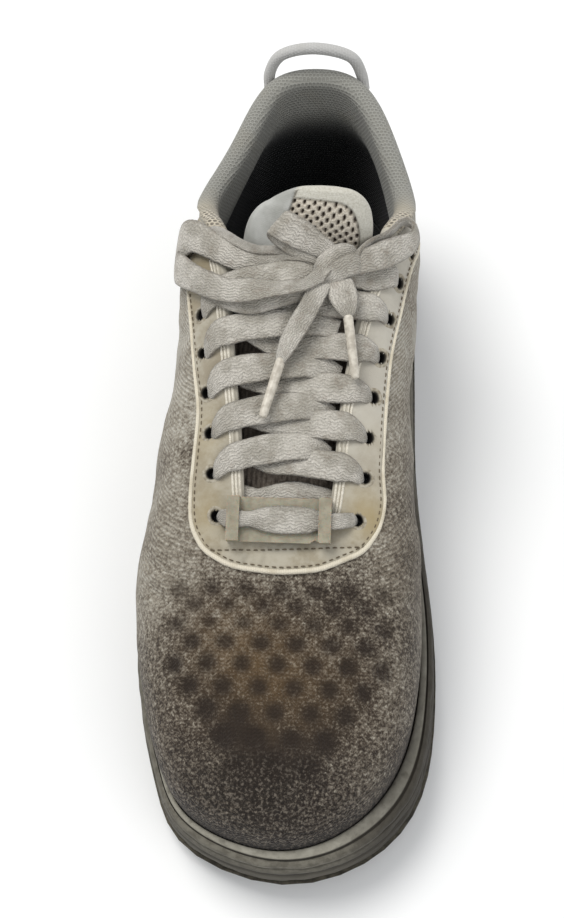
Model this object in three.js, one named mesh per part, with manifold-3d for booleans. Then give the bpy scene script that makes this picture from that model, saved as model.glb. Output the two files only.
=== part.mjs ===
// A worn low-top knit sneaker for the right foot, standing empty on its sole.
// Millimetres, +Z up, toe towards -Y, medial (big toe) side towards +X.
// The origin is on the floor, under the middle of the shoe.
//
// The upper is one hollow wall lofted on ribs. Each rib starts at a station on the footprint, inside
// the cup of the midsole, and ends on the edge of the opening: the collar, the throat or its rounded
// front. The cup, the insole, the tongue and the laces are worked out from the same ribs.

import * as THREE from 'three';
import { mergeVertices } from 'three/addons/utils/BufferGeometryUtils.js';
import Module from 'manifold-3d';

const wasm = await Module();
wasm.setup();

// ---------------------------------------------------------------- driving dimensions

const GAP = 0.3; // between pieces that touch
const WALL = 2.6; // knit upper with its lining
const COLLAR_WALL = 8.5; // padded collar
const FLARE = 2.2; // how far the sidewall leans in from its foot to its rim
const CUP = -0.2; // where a rib starts, down in the cup
const TREAD = 5; // rubber outsole, down to the floor
const LUG_DEPTH = 1.8;
const INSOLE = 4.5;
const TONGUE = 6; // padded tongue
const PULL_LOOP = 3.8;
const LACE_WIDTH = 9;
const LACE_THICK = 1.9;
const FIRST_ROW = -41.5; // y of the eyelets nearest the toe
const ROW_PITCH = 14.1;
const EYELET_INSET = 10; // from the throat edge to the middle of an eyelet
const AGLET = 3.3;
const TAG = { width: 36, depth: 15.5, thick: 1.8, at: [-3.3, -43.4, 77.5], tilt: 21, bridge: 4.3, slack: 0.9 };
const GROOVE = 3;
const CENTRE = [-2.7, -1]; // middle of the shoe's box, as the stations are measured

const RING = 76; // points round the shoe
const RIB = 10; // steps up a rib above the cup

// Stations from the heel back, along both sides, to the toe tip. Pairs are [medial, lateral].
// sole: distances of the sole's rim from the middle line, at y. edge: the same for the rib's end, then
// its y and z. rise and lean set how the rib leaves the cup; reach, drop and puff how it comes to the
// edge: from how far out, from how far below, and swollen by how much. lip is the distance from the
// sole's widest line in to the upper, and pad how much of the collar padding the wall has.
const STATIONS = [
  { name: 'heel back', y: 149.5, sole: [0, 0], edge: [1, -1, 147, 96.5],
    rise: 34, lean: [2, 2], reach: 0.1, drop: 26, puff: [0, 0], lip: [6, 6], pad: 1 },
  { name: 'heel corner', y: 140, sole: [27, 27], edge: [21, 19, 139.5, 95],
    rise: 34, lean: [2, 2], reach: 0.3, drop: 26, puff: [0, 0], lip: [6, 6], pad: 1 },
  { name: 'heel side', y: 113, sole: [41, 41], edge: [34, 31.5, 114.5, 89],
    rise: 34, lean: [2, 2], reach: 0.5, drop: 26, puff: [0, 0], lip: [6, 6], pad: 1 },
  { name: 'ankle', y: 80, sole: [42.5, 44.5], edge: [41, 42, 90, 86],
    rise: 36, lean: [4, 4], reach: 0.6, drop: 24, puff: [2, 3], lip: [6, 6], pad: 1 },
  { name: 'collar front', y: 48, sole: [43, 47.5], edge: [38.5, 37, 66, 103],
    rise: 44, lean: [7, 5], reach: 0.5, drop: 20, puff: [9, 12], lip: [6, 6], pad: 1 },
  { name: 'throat top', y: 14, sole: [44, 51], edge: [28, 28.5, 43, 105.5],
    rise: 44, lean: [8, 7], reach: 0.8, drop: 17, puff: [4, 4], lip: [6, 6], pad: 0.7 },
  { name: 'upper throat', y: -22, sole: [48, 55.5], edge: [19, 22.5, 9, 93.5],
    rise: 40, lean: [8, 10], reach: 0.8, drop: 11, puff: [0, 0], lip: [6, 6], pad: 0.15 },
  { name: 'middle throat', y: -56, sole: [52, 58], edge: [16, 18.5, -17, 85],
    rise: 35, lean: [6, 13], reach: 0.72, drop: 9, puff: [0, 0], lip: [6, 6], pad: 0 },
  { name: 'lower throat', y: -88, sole: [52.5, 55.5], edge: [14.5, 16.5, -36, 77.5],
    rise: 30, lean: [4, 11], reach: 0.66, drop: 9, puff: [0, 0], lip: [6.5, 5.5], pad: 0 },
  { name: 'toe corner', y: -117, sole: [48, 47], edge: [11.5, 13.5, -45, 74],
    rise: 28, lean: [3, 10], reach: 0.6, drop: 10, puff: [0, 0], lip: [8.5, 5], pad: 0 },
  { name: 'toe shoulder', y: -140, sole: [32, 33], edge: [6, 8, -48.8, 72.2],
    rise: 28, lean: [2, 6], reach: 0.58, drop: 13, puff: [0, 0], lip: [8.5, 5.5], pad: 0 },
  { name: 'toe tip', y: -151.5, sole: [1, -1], edge: [-1, 1, -49.8, 71.8],
    rise: 28, lean: [2, 2], reach: 0.58, drop: 14, puff: [0, 0], lip: [6.8, 6.8], pad: 0 },
];

// ---------------------------------------------------------------- small maths

const { lerp, smoothstep, clamp } = THREE.MathUtils;
const TAU = 2 * Math.PI;

// Weights of a uniform cubic B-spline at t in its span.
const weights = (t) => [
  (1 - t) ** 3 / 6,
  (3 * t ** 3 - 6 * t ** 2 + 4) / 6,
  (-3 * t ** 3 + 3 * t ** 2 + 3 * t + 1) / 6,
  t ** 3 / 6,
];

// A smooth closed curve through rows of numbers, at whole values of its parameter.
function closedCurve(rows) {
  const n = rows.length;
  let control = rows.map((r) => [...r]);
  for (let round = 0; round < 60; round++)
    control = control.map((_, i) =>
      rows[i].map((v, k) => (6 * v - control[(i + n - 1) % n][k] - control[(i + 1) % n][k]) / 4),
    );
  return (u) => {
    const i = Math.floor(u);
    const w = weights(u - i);
    return rows[0].map((_, k) =>
      w.reduce((sum, wi, j) => sum + wi * control[(((i + j - 1) % n) + n) % n][k], 0),
    );
  };
}

// A closed solid from rings of points with the same count, first ring to last, ends capped across.
// Point j of a ring is opposite point n - j, so a cap is a row of strips from side to side.
function shell(rings, closed = false) {
  const n = rings[0].length;
  const triangles = [];
  const quad = (a, b, c, d) => triangles.push(a, b, c, a, c, d);
  const spans = closed ? rings.length : rings.length - 1;
  for (let i = 0; i < spans; i++) {
    const [low, high] = [rings[i], rings[(i + 1) % rings.length]];
    for (let j = 0; j < n; j++) {
      const k = (j + 1) % n;
      quad(low[j], low[k], high[k], high[j]);
    }
  }
  const cap = (ring, flip) => {
    for (let j = 0; j < n / 2; j++) {
      const [a, b, c, d] = [ring[j], ring[j + 1], ring[n - j - 1], ring[(n - j) % n]];
      if (b !== c) triangles.push(a, ...(flip ? [b, c] : [c, b]));
      if (a !== d) triangles.push(a, ...(flip ? [c, d] : [d, c]));
    }
  };
  if (!closed) {
    cap(rings[0], false);
    cap(rings[rings.length - 1], true);
  }
  return soup(triangles);
}

const soup = (points) => new THREE.BufferGeometry().setFromPoints(points);

// three.js geometry to a manifold-3d solid, facing outwards, and back.
function toSolid(geometry) {
  const bare = geometry.index ? geometry.toNonIndexed() : geometry.clone();
  bare.deleteAttribute('normal');
  bare.deleteAttribute('uv');
  const merged = mergeVertices(bare, 1e-3);
  const vertProperties = new Float32Array(merged.attributes.position.array);
  const triVerts = new Uint32Array(merged.index.array);
  const make = () => new wasm.Manifold(new wasm.Mesh({ numProp: 3, vertProperties, triVerts }));
  const solid = make();
  if (solid.volume() > 0) return solid;
  triVerts.reverse();
  return make();
}

function toGeometry(solid) {
  const mesh = solid.getMesh();
  const position = new THREE.BufferAttribute(new Float32Array(mesh.vertProperties), 3);
  return new THREE.BufferGeometry()
    .setAttribute('position', position)
    .setIndex(new THREE.BufferAttribute(new Uint32Array(mesh.triVerts), 1));
}

// ---------------------------------------------------------------- heights along the sole

const toeSpring = (y) => 9 * clamp((-92 - y) / 58, 0, 1) ** 2;
const heelBevel = (y) => 2.5 * clamp((y - 132) / 17, 0, 1) ** 2;
const archLift = (y) => 1.6 * smoothstep(y, -22, 6) * smoothstep(-y, -64, -36);
const groundHeight = (y) => toeSpring(y) + heelBevel(y) + archLift(y);
const floorHeight = (y) => 14 + 6 * smoothstep(y, -30, 80) + 0.55 * toeSpring(y);
const rimHeight = (y) => 26.5 + 6 * smoothstep(y, -30, 120) + 4.5 * smoothstep(-y, 90, 150);

// ---------------------------------------------------------------- the ribs

// Stations all the way round: heel back, medial side, toe tip, lateral side.
const sideOf = (s, i) => {
  const sign = i ? -1 : 1;
  return {
    rim: [sign * s.sole[i], s.y],
    edge: [sign * s.edge[i], s.edge[2], s.edge[3]],
    habit: [s.rise, s.lean[i], s.reach, s.drop, s.puff[i], s.pad, s.lip[i]],
  };
};
const around = [
  ...STATIONS.map((s) => sideOf(s, 0)),
  ...STATIONS.slice(1, -1).reverse().map((s) => sideOf(s, 1)),
];
const COUNT = around.length;

const rimLine = closedCurve(around.map((s) => s.rim));
const edgeLine = closedCurve(around.map((s) => s.edge));
const habit = closedCurve(around.map((s) => s.habit));

// The sole's rim and its outward direction at u, and the same line moved inwards.
function rimAt(u, inset = 0) {
  const [x, y] = rimLine(u);
  const [ax, ay] = rimLine(u - 0.02);
  const [bx, by] = rimLine(u + 0.02);
  const along = Math.hypot(bx - ax, by - ay);
  const out = [-(by - ay) / along, (bx - ax) / along];
  const sign = out[0] * x + out[1] * y > 0 ? 1 : -1;
  return { x: x - sign * out[0] * inset, y: y - sign * out[1] * inset, out: [sign * out[0], sign * out[1]] };
}

// The line where the upper stands in the cup, moved inwards.
const footAt = (u, inset) => rimAt(u, habit(u)[6] + inset);

// A point of the upper's outside: u runs round the shoe, v from the floor of the cup (-0.2) past the
// cup's rim (0) to the opening (1).
function outside(u, v) {
  const foot = footAt(u, 0);
  const [rise, lean, reach, drop, puff] = habit(u);
  const [ex, ey, ez] = edgeLine(u);
  const low = floorHeight(foot.y) + GAP;
  const z = rimHeight(foot.y);
  if (v < 0) return new THREE.Vector3(foot.x, foot.y, lerp(z, low, v / CUP));
  const a = new THREE.Vector3(foot.x, foot.y, z);
  const out = new THREE.Vector3(...foot.out, 0);
  const b = new THREE.Vector3(foot.x, foot.y, z + rise).addScaledVector(out, lean);
  const c = new THREE.Vector3(lerp(ex, foot.x, reach), lerp(ey, foot.y, reach), ez - drop);
  c.addScaledVector(out, puff);
  const d = new THREE.Vector3(ex, ey, ez);
  return new THREE.CubicBezierCurve3(a, b, c, d).getPoint(v);
}

function outward(u, v) {
  const along = outside(u + 0.03, v).sub(outside(u - 0.03, v));
  const up = outside(u, Math.min(1, v + 0.02)).sub(outside(u, Math.max(CUP, v - 0.02)));
  return up.cross(along).normalize();
}

const wallAt = (u, v) => WALL + habit(u)[5] * (COLLAR_WALL - WALL) * smoothstep(v, 0.35, 0.85);
const inside = (u, v, more = 0) => outside(u, v).addScaledVector(outward(u, v), -wallAt(u, v) - more);

// ---------------------------------------------------------------- sub-parts

const ring = (at) => Array.from({ length: RING }, (_, j) => at((j * COUNT) / RING));

// The rolled edge of the opening at u: half turns from the outer face to the inner one.
function edgeRoll(u, turn) {
  const outer = outside(u, 1);
  const inner = inside(u, 1);
  const middle = outer.clone().add(inner).multiplyScalar(0.5);
  const up = outer.clone().sub(outside(u, 0.98)).normalize();
  const arm = outer.clone().sub(middle);
  return middle.addScaledVector(arm, Math.cos(turn)).addScaledVector(up, arm.length() * Math.sin(turn));
}

function upper() {
  const steps = [CUP, ...Array.from({ length: RIB + 1 }, (_, i) => i / RIB)];
  const outer = steps.map((v) => ring((u) => outside(u, v)));
  const inner = steps.reverse().map((v) => ring((u) => inside(u, v)));
  const rolled = [0.25, 0.5, 0.75].map((t) => ring((u) => edgeRoll(u, Math.PI * t)));
  return shell([...outer, ...rolled, ...inner], true);
}

const levelAt = (p, height) => new THREE.Vector3(p.x, p.y, height(p.y));
const level = (u, inset, height) => levelAt(rimAt(u, inset), height);

// Foam cup: a sidewall that carries the upper, open on top, and its floor under the insole.
function midsole() {
  const base = (y) => groundHeight(y) + TREAD + GAP;
  const rings = [
    ring((u) => level(u, 0.9, base)),
    ring((u) => level(u, 0.3, (y) => lerp(base(y), rimHeight(y), 0.25))),
    ring((u) => level(u, FLARE - 0.5, (y) => rimHeight(y) - 3.5)),
    ring((u) => level(u, FLARE, (y) => rimHeight(y) - 0.9)),
    ring((u) => level(u, FLARE + 1, rimHeight)),
    ring((u) => levelAt(footAt(u, -GAP), rimHeight)),
    ring((u) => levelAt(footAt(u, -GAP), floorHeight)),
  ];
  return shell(rings);
}

// Rubber tread: its rim stands a little proud of the foam. Ring grooves under the ball and the heel
// and short grooves across leave the main lugs.
function outsole() {
  const rings = [
    ring((u) => level(u, 3.2, groundHeight)),
    ring((u) => level(u, 0.4, (y) => groundHeight(y) + 1.6)),
    ring((u) => level(u, -0.6, (y) => groundHeight(y) + TREAD)),
  ];
  const disc = (r, y) => toSolid(new THREE.CylinderGeometry(r, r, 2 * LUG_DEPTH, 24).rotateX(TAU / 4).translate(0, y, 0));
  const ringCut = ([y, r]) => disc(r + GROOVE / 2, y).subtract(disc(r - GROOVE / 2, y));
  const crossCut = ([y, length]) =>
    toSolid(new THREE.BoxGeometry(length, GROOVE, 2 * LUG_DEPTH).translate(-2, y, groundHeight(y)));
  const cuts = [
    ...[[-66, 15], [-66, 27], [98, 14], [98, 25]].map(ringCut),
    ...[[-124, 62], [-106, 80], [-24, 82], [-6, 76], [56, 68], [136, 42]].map(crossCut),
  ];
  return toGeometry(cuts.reduce((solid, cut) => solid.subtract(cut), toSolid(shell(rings))));
}

function insole() {
  const at = (u, up, more) => {
    const p = footAt(u, WALL + GAP + more);
    return new THREE.Vector3(p.x, p.y, floorHeight(p.y) + GAP + up);
  };
  return shell([ring((u) => at(u, 0, 0)), ring((u) => at(u, INSOLE, 0.2)), ring((u) => at(u, INSOLE + 0.8, 1.2))]);
}

// A band swept through rows of { at, up, width, thick, bow, lag }: its middle, the way its face looks,
// its section, how far its two sides bend down, and how far they stay behind.
function band(rows, steps, sides) {
  const vector = (v) => new THREE.Vector3(...v);
  const path = new THREE.CatmullRomCurve3(rows.map((r) => vector(r.at)));
  const face = new THREE.CatmullRomCurve3(rows.map((r) => vector(r.up)));
  const size = new THREE.CatmullRomCurve3(rows.map((r) => vector([r.width, r.thick, 0])));
  const bend = new THREE.CatmullRomCurve3(rows.map((r) => vector([r.bow || 0, r.lag || 0, 0])));
  const rings = Array.from({ length: steps + 1 }, (_, i) => {
    const t = i / steps;
    const [middle, along] = [path.getPoint(t), path.getTangent(t)];
    const [{ x: width, y: thick }, { x: bow, y: lag }] = [size.getPoint(t), bend.getPoint(t)];
    const side = along.clone().cross(face.getPoint(t)).normalize();
    const up = side.clone().cross(along).normalize();
    return Array.from({ length: sides }, (__, j) => {
      const [c, s] = [Math.cos((TAU * j) / sides), Math.sin((TAU * j) / sides)];
      const lift = Math.sign(s) * Math.abs(s) ** 0.6 * (thick / 2) - bow * c * c;
      const point = middle.clone().addScaledVector(along, -lag * c * c);
      return point.addScaledVector(side, (c * width) / 2).addScaledVector(up, lift);
    });
  });
  return shell(rings);
}

// Middle line of the tongue from under the vamp to its top, with half width and how far it arches.
const TONGUE_LINE = [
  { at: [0, -58, 63.4], up: [0, -0.3, 1], width: 36, thick: 5, bow: 2.5 },
  { at: [0, -38, 69], up: [0, -0.35, 1], width: 44, thick: TONGUE, bow: 5 },
  { at: [0, -15, 77.5], up: [0, -0.38, 1], width: 52, thick: TONGUE, bow: 7.5 },
  { at: [0, 9, 86.6], up: [0, -0.4, 1], width: 54, thick: TONGUE, bow: 9 },
  { at: [0.5, 28, 94], up: [0, -0.5, 1], width: 50, thick: TONGUE, bow: 10 },
  { at: [0.6, 41, 102.5], up: [0, -0.8, 1], width: 43, thick: TONGUE, bow: 9, lag: 2 },
  { at: [1.4, 51.5, 113.5], up: [-0.1, -1, 0.9], width: 46, thick: TONGUE, bow: 6, lag: 7 },
  { at: [5, 59, 124], up: [-0.16, -1, 0.7], width: 49, thick: TONGUE, bow: 3, lag: 12 },
  { at: [6.5, 61.5, 128.5], up: [-0.18, -1, 0.6], width: 45, thick: 3.6, bow: 2, lag: 14 },
];

function tongueTop(y) {
  const path = new THREE.CatmullRomCurve3(TONGUE_LINE.map((r) => new THREE.Vector3(...r.at)));
  const points = path.getPoints(60);
  const near = points.reduce((a, b) => (Math.abs(b.y - y) < Math.abs(a.y - y) ? b : a));
  const along = path.getTangent(points.indexOf(near) / 60);
  return near.z + TONGUE / 2 / Math.hypot(along.x, along.y);
}

function pullLoop() {
  const foot = (u) => {
    const [p, n] = [outside(u, 0.94), outward(u, 0.94)];
    return p.addScaledVector(n, PULL_LOOP / 2 + GAP + 0.1).toArray();
  };
  const top = [[-17.4, 144.8, 98.5], [-12.6, 145.2, 107.2], [0.4, 145.2, 111], [14.6, 144.8, 107], [18.6, 144.4, 98.5]];
  const line = [foot(COUNT - 0.84), ...top, foot(0.84)];
  const rows = line.map((at) => ({ at, up: [0, 1, 0.01], width: PULL_LOOP, thick: PULL_LOOP }));
  return band(rows, 24, 8);
}

// The point of the upper's outside at y, a given way out from the throat's edge, and its direction.
function eyestay(side, y, inset) {
  let u = side > 0 ? 6 : COUNT - 6;
  const pinch = (from, to, miss) => {
    for (let k = 0; k < 40; k++) {
      const [a, b] = [lerp(from, to, 0.4), lerp(from, to, 0.6)];
      if (miss(a) < miss(b)) to = b;
      else from = a;
    }
    return (from + to) / 2;
  };
  const ends = side > 0 ? [3.6, 11] : [COUNT - 3.6, 11];
  const start = outside(pinch(...ends, (t) => Math.abs(edgeLine(t)[1] - y)), 1);
  let v = 1;
  for (let round = 0; round < 12; round++) {
    u = pinch(...ends, (t) => Math.abs(outside(t, v).y - y));
    v = pinch(0.3, 1, (t) => Math.abs(outside(u, t).distanceTo(start) - inset));
  }
  return { at: outside(u, v), up: outward(u, v) };
}

const rowY = (row) => FIRST_ROW + ROW_PITCH * row;
const over = ({ at, up }, lift) => at.clone().addScaledVector(up, GAP + LACE_THICK / 2 + lift).toArray();
const THROAT_UP = [0, -0.33, 0.94];

// Half of a crossing: out of an eyelet, over its side, across the throat, and in under the far side.
// The upper rows slide down the rising tongue.
function laceHalf(row, side) {
  const eyelet = eyestay(side, rowY(row), EYELET_INSET);
  const halfway = eyestay(side, rowY(row) + 1.4, EYELET_INSET / 2);
  const brink = eyestay(side, rowY(row) + 3, 1.5);
  const far = eyestay(-side, rowY(row) + ROW_PITCH - 2, 0).at;
  const y = rowY(row) + ROW_PITCH * 0.5 - 2 * Math.max(0, row - 3);
  const level = Math.max((brink.at.z + far.z) / 2, tongueTop(y + LACE_WIDTH / 2) + 1.9);
  const onTop = side < 0 ? 1.7 : -0.4;
  const under = [far.x + side * (row > 3 ? 7 : 3.4), far.y, far.z + (row > 3 ? 0.5 : -2.6)];
  const [width, thick] = [LACE_WIDTH, LACE_THICK];
  return band(
    [
      { at: over(eyelet, 0), up: eyelet.up.toArray(), width: width * 0.62, thick },
      { at: over(halfway, 0.3), up: halfway.up.toArray(), width, thick },
      { at: over(brink, 0.5), up: brink.up.toArray(), width, thick },
      { at: [0, y, level + onTop], up: THROAT_UP, width, thick },
      { at: under, up: THROAT_UP, width: width * 0.8, thick },
    ],
    8,
    8,
  );
}

const joined = (...parts) => toGeometry(wasm.Manifold.union(parts.map(toSolid)));
const laceCross = (row) => joined(laceHalf(row, -1), laceHalf(row, 1));

// The crossing behind the tag: it lies in the throat and ends short of both sides.
function innerCross() {
  const y = [rowY(0) + 6, rowY(1) - 3];
  const half = (side) => {
    const ends = [-side, side].map((s, i) => {
      const edge = eyestay(s, y[i], 0).at;
      return [edge.x - s * 3.5, y[i], edge.z - 2.4];
    });
    const row = (at) => ({ at, up: THROAT_UP, width: LACE_WIDTH * 0.85, thick: LACE_THICK });
    const middle = [0, (y[0] + y[1]) / 2, tongueTop((y[0] + y[1]) / 2) + 1.6 + (side < 0 ? 1 : 0)];
    return band([row(ends[0]), row(middle), row(ends[1])], 6, 8);
  };
  return joined(half(-1), half(1));
}

// A plate threaded on the lowest lace: the lace lies on it and passes under a bridge at each end.
function laceTag() {
  const { width, depth, thick, at, tilt, bridge, slack } = TAG;
  const [slotWide, slotHigh] = [LACE_WIDTH + slack, LACE_THICK + slack];
  const box = (w, d, h, x, z) => toSolid(new THREE.BoxGeometry(w, d, h).translate(x, 0, z));
  const side = (sign) => {
    const x = (sign * (width - bridge)) / 2;
    const block = box(bridge, depth, thick + slotHigh + 1, x, (slotHigh + 1) / 2);
    return block.subtract(box(bridge + 2, slotWide, slotHigh, x, (thick + slotHigh) / 2));
  };
  const torn = new THREE.CylinderGeometry(1.8, 1.8, 20, 6).rotateX(TAU / 4);
  const tag = box(width, depth, thick, 0, 0).add(side(1)).add(side(-1));
  return toGeometry(tag.subtract(toSolid(torn.translate(width / 2 - 5.5, -depth / 2 - 0.6, 0))))
    .rotateX((tilt * TAU) / 360)
    .translate(...at);
}

// The lowest lace: out of one eyelet, through the tag, and down into the other.
function laceBar() {
  const [, y, z] = TAG.at;
  const height = (TAG.thick + LACE_THICK + TAG.slack) / 2;
  const tilt = (TAG.tilt * TAU) / 360;
  const up = [0, -Math.sin(tilt), Math.cos(tilt)];
  const [width, thick] = [LACE_WIDTH, LACE_THICK];
  const flat = (x) => ({ at: [x, y + height * up[1], z + height * up[2]], up, width, thick });
  const end = (side) => {
    const eyelet = eyestay(side, rowY(0), EYELET_INSET + 2.5);
    return { at: over(eyelet, 0.2), up: eyelet.up.toArray(), width: width * 0.55, thick };
  };
  return band([end(-1), flat(-20.5), flat(-10), flat(4), flat(14), end(1)], 20, 8);
}

// A free strand through rows of [x, y, z, width, and the way its face looks].
function strand(route, thick = LACE_THICK) {
  const rows = route.map(([x, y, z, width, ...up]) => ({ at: [x, y, z], up, width, thick }));
  return band(rows, 3 * (rows.length - 1), 8);
}

// Knot of the bow, with the two strands that rise to it out of the highest laced eyelets.
function laceKnot() {
  const start = (side) => {
    const spots = [
      eyestay(side, rowY(6), EYELET_INSET),
      eyestay(side, rowY(6) + 0.6, EYELET_INSET / 2),
      eyestay(side, rowY(6) + 1, 1.2),
    ];
    return spots.map((s, i) => [...over(s, 0.4 * i), i ? 9 : 6, ...s.up.toArray()]);
  };
  const left = [...start(-1), [-15, 41, 109.6, 9, 0, -0.7, 0.7], [2, 37.6, 112.7, 9, 0, -0.75, 0.65]];
  const right = [...start(1).slice(0, 2), [28.5, 43.6, 108.2, 8, 0.3, -0.3, 0.9]];
  const middle = [17.6, 41, 112.4];
  const body = new THREE.SphereGeometry(1, 14, 10).scale(7.4, 6.2, 4).rotateX(TAU / 9).translate(...middle);
  const rises = [left, right].map((r) => strand([...r, [...middle, 7, 0, -0.7, 0.7]]));
  return joined(body, ...rises);
}

const LOOP_LEFT = [
  [7.4, 43.4, 113, 6.5, 0, -0.75, 0.65],
  [-4, 45.2, 113.2, 6, -0.1, -0.7, 0.7],
  [-17.5, 49.5, 110, 8, -0.2, -0.5, 0.85],
  [-31, 57.5, 110, 10, -0.35, -0.3, 0.9],
  [-41, 65, 105.2, 10, -0.6, -0.2, 0.75],
  [-45.6, 70.5, 102.4, 9, -0.8, 0, 0.6],
  [-42.5, 70.8, 108.2, 7, -0.1, 0.6, 0.9],
  [-34, 66, 114.5, 5, -0.3, 0.6, 0.8],
  [-24, 58.5, 113.8, 4, -0.3, 0.6, 0.8],
];
const LOOP_RIGHT = [
  [27.8, 46, 112.8, 7, 0.2, -0.5, 0.85],
  [33, 50.5, 110, 8, 0.5, -0.3, 0.8],
  [40, 54.5, 105, 9, 0.75, -0.25, 0.6],
  [44.4, 57, 98, 9, 0.95, -0.2, 0.3],
];
const FOLD = [
  [12, 46.6, 118.4, 7, 0, -0.75, 0.65],
  [1.5, 50.6, 121.8, 10, -0.1, -0.75, 0.65],
  [-7, 55.5, 125, 11, -0.1, -0.75, 0.65],
];
const END_LEFT = [
  [11.2, 34.3, 111.4, 7, 0, -0.5, 0.85],
  [3.6, 29, 108.4, 7.5, 0, -0.4, 0.9],
  [-2, 20.5, 104.2, 7.5, 0, -0.5, 0.85],
  [-6.4, 12, 99.6, 3.6, 0, -0.4, 0.9],
];
const END_RIGHT = [
  [20.4, 34.4, 109, 5, 0, -0.6, 0.8],
  [21.3, 30.6, 107.4, 6, 0, -0.4, 0.9],
  [21.4, 26.8, 105.8, 3.6, 0, -0.4, 0.9],
];
const AGLET_LEFT = [[-6.6, 11, 99.1], [-11, -11.6, 93.3]];
const AGLET_RIGHT = [[21.4, 26.2, 105.4], [21.4, 4.6, 97.4]];

// Stiff tip of the lace: a straight round tube.
function aglet([from, to]) {
  const [a, b] = [new THREE.Vector3(...from), new THREE.Vector3(...to)];
  const turn = new THREE.Quaternion().setFromUnitVectors(new THREE.Vector3(0, 1, 0), b.clone().sub(a).normalize());
  const middle = a.clone().add(b).multiplyScalar(0.5);
  const tube = new THREE.CylinderGeometry(AGLET / 2, AGLET / 2, a.distanceTo(b), 10);
  return tube.applyQuaternion(turn).translate(...middle.toArray());
}

// ---------------------------------------------------------------- the shoe

const finish = (color, roughness) => new THREE.MeshStandardMaterial({ color, roughness, metalness: 0 });
const knit = finish(0x8f8a7c, 0.95);
const foam = finish(0x8a877c, 0.8);
const rubber = finish(0x5c5a52, 0.7);
const lining = finish(0x1c1f20, 0.9);
const webbing = finish(0xb9b4aa, 0.9);
const gum = finish(0x8d8873, 0.5);
const tip = finish(0xd8d6d0, 0.4);

const shoe = new THREE.Group();
function place(name, geometry, material) {
  const mesh = new THREE.Mesh(geometry, material);
  mesh.position.set(-CENTRE[0], -CENTRE[1], 0);
  mesh.name = name;
  shoe.add(mesh);
}

place('upper', toGeometry(toSolid(upper())), knit);
place('midsole', toGeometry(toSolid(midsole())), foam);
place('outsole', outsole(), rubber);
place('insole', toGeometry(toSolid(insole())), lining);
place('tongue', toGeometry(toSolid(band(TONGUE_LINE, 19, 18))), foam);
place('pull_loop', toGeometry(toSolid(pullLoop())), webbing);
place('lace_cross_0', innerCross(), webbing);
for (const row of [1, 2, 3, 4, 5]) place(`lace_cross_${row}`, laceCross(row), webbing);

place('lace_tag', laceTag(), gum);
place('lace_bar', toGeometry(toSolid(laceBar())), webbing);
place('lace_knot', laceKnot(), webbing);
place('lace_loop_left', toGeometry(toSolid(strand(LOOP_LEFT))), webbing);
place('lace_loop_right', toGeometry(toSolid(strand(LOOP_RIGHT))), webbing);
place('lace_fold', toGeometry(toSolid(strand(FOLD, 3.6))), webbing);
place('lace_end_left', toGeometry(toSolid(strand(END_LEFT))), webbing);
place('lace_end_right', toGeometry(toSolid(strand(END_RIGHT, 3))), webbing);
place('aglet_left', toGeometry(toSolid(aglet(AGLET_LEFT))), tip);
place('aglet_right', toGeometry(toSolid(aglet(AGLET_RIGHT))), tip);

export default shoe;
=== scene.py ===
import bmesh
import bpy
import numpy as np
from mathutils import Matrix, Vector
from mathutils.kdtree import KDTree


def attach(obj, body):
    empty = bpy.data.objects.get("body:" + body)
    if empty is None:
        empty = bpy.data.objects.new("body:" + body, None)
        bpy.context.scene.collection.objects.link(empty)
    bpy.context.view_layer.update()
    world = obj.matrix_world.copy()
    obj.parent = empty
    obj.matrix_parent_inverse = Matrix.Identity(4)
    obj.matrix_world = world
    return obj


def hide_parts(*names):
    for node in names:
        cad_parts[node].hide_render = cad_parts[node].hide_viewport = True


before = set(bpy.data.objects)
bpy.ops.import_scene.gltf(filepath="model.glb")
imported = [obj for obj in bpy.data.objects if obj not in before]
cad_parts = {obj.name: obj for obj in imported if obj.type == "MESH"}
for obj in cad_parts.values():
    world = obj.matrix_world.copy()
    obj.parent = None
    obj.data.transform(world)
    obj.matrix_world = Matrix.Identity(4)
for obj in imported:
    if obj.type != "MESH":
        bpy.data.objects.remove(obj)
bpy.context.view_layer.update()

MM = 0.001
TAU = 2 * np.pi
CENTRE = np.array([-2.7, -1.0, 0.0])  # middle of the shoe's box, as the tables are measured


def placed(points):
    """Measured millimetres to metres in the frame."""
    return (np.asarray(points, float) - CENTRE) * MM


def linked(name, data):
    """A new object in the scene."""
    made = bpy.data.objects.new(name, data)
    bpy.context.collection.objects.link(made)
    return made


# ---------------------------------------------------------------- camera

EYE = (35, -280, 536)
LOOK_AT = (-5.8, -6.2, 55)
ROLL = -5.8  # degrees
LENS = 58.8


def make_camera():
    data = bpy.data.cameras.new("camera")
    data.lens, data.sensor_width = LENS, 36
    data.clip_start, data.clip_end = 0.01, 20
    camera = linked("camera", data)
    eye, target = Vector(placed(EYE)), Vector(placed(LOOK_AT))
    back = (eye - target).normalized()
    right = Vector((0, 0, 1)).cross(back).normalized()
    up = back.cross(right)
    turn = np.radians(ROLL)
    right, up = right * np.cos(turn) + up * np.sin(turn), up * np.cos(turn) - right * np.sin(turn)
    camera.matrix_world = Matrix([*zip(right, up, back, eye), (0, 0, 0, 1)])
    bpy.context.scene.camera = camera


make_camera()

# ---------------------------------------------------------------- small maths


def lerp(a, b, t):
    return a + (b - a) * t


def walk(points):
    """Distance walked along a line of points, from 0."""
    return np.concatenate([[0], np.cumsum(np.linalg.norm(np.diff(points, axis=0), axis=1))])


def ramp(x, low, high):
    """0 below low, 1 above high, smooth between."""
    t = np.clip((np.asarray(x, float) - low) / (high - low), 0, 1)
    return t * t * (3 - 2 * t)


def hump(x, middle, half):
    """1 at the middle, falling smoothly to 0 about two halves away."""
    return np.exp(-(((np.asarray(x, float) - middle) / half) ** 2))


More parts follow.
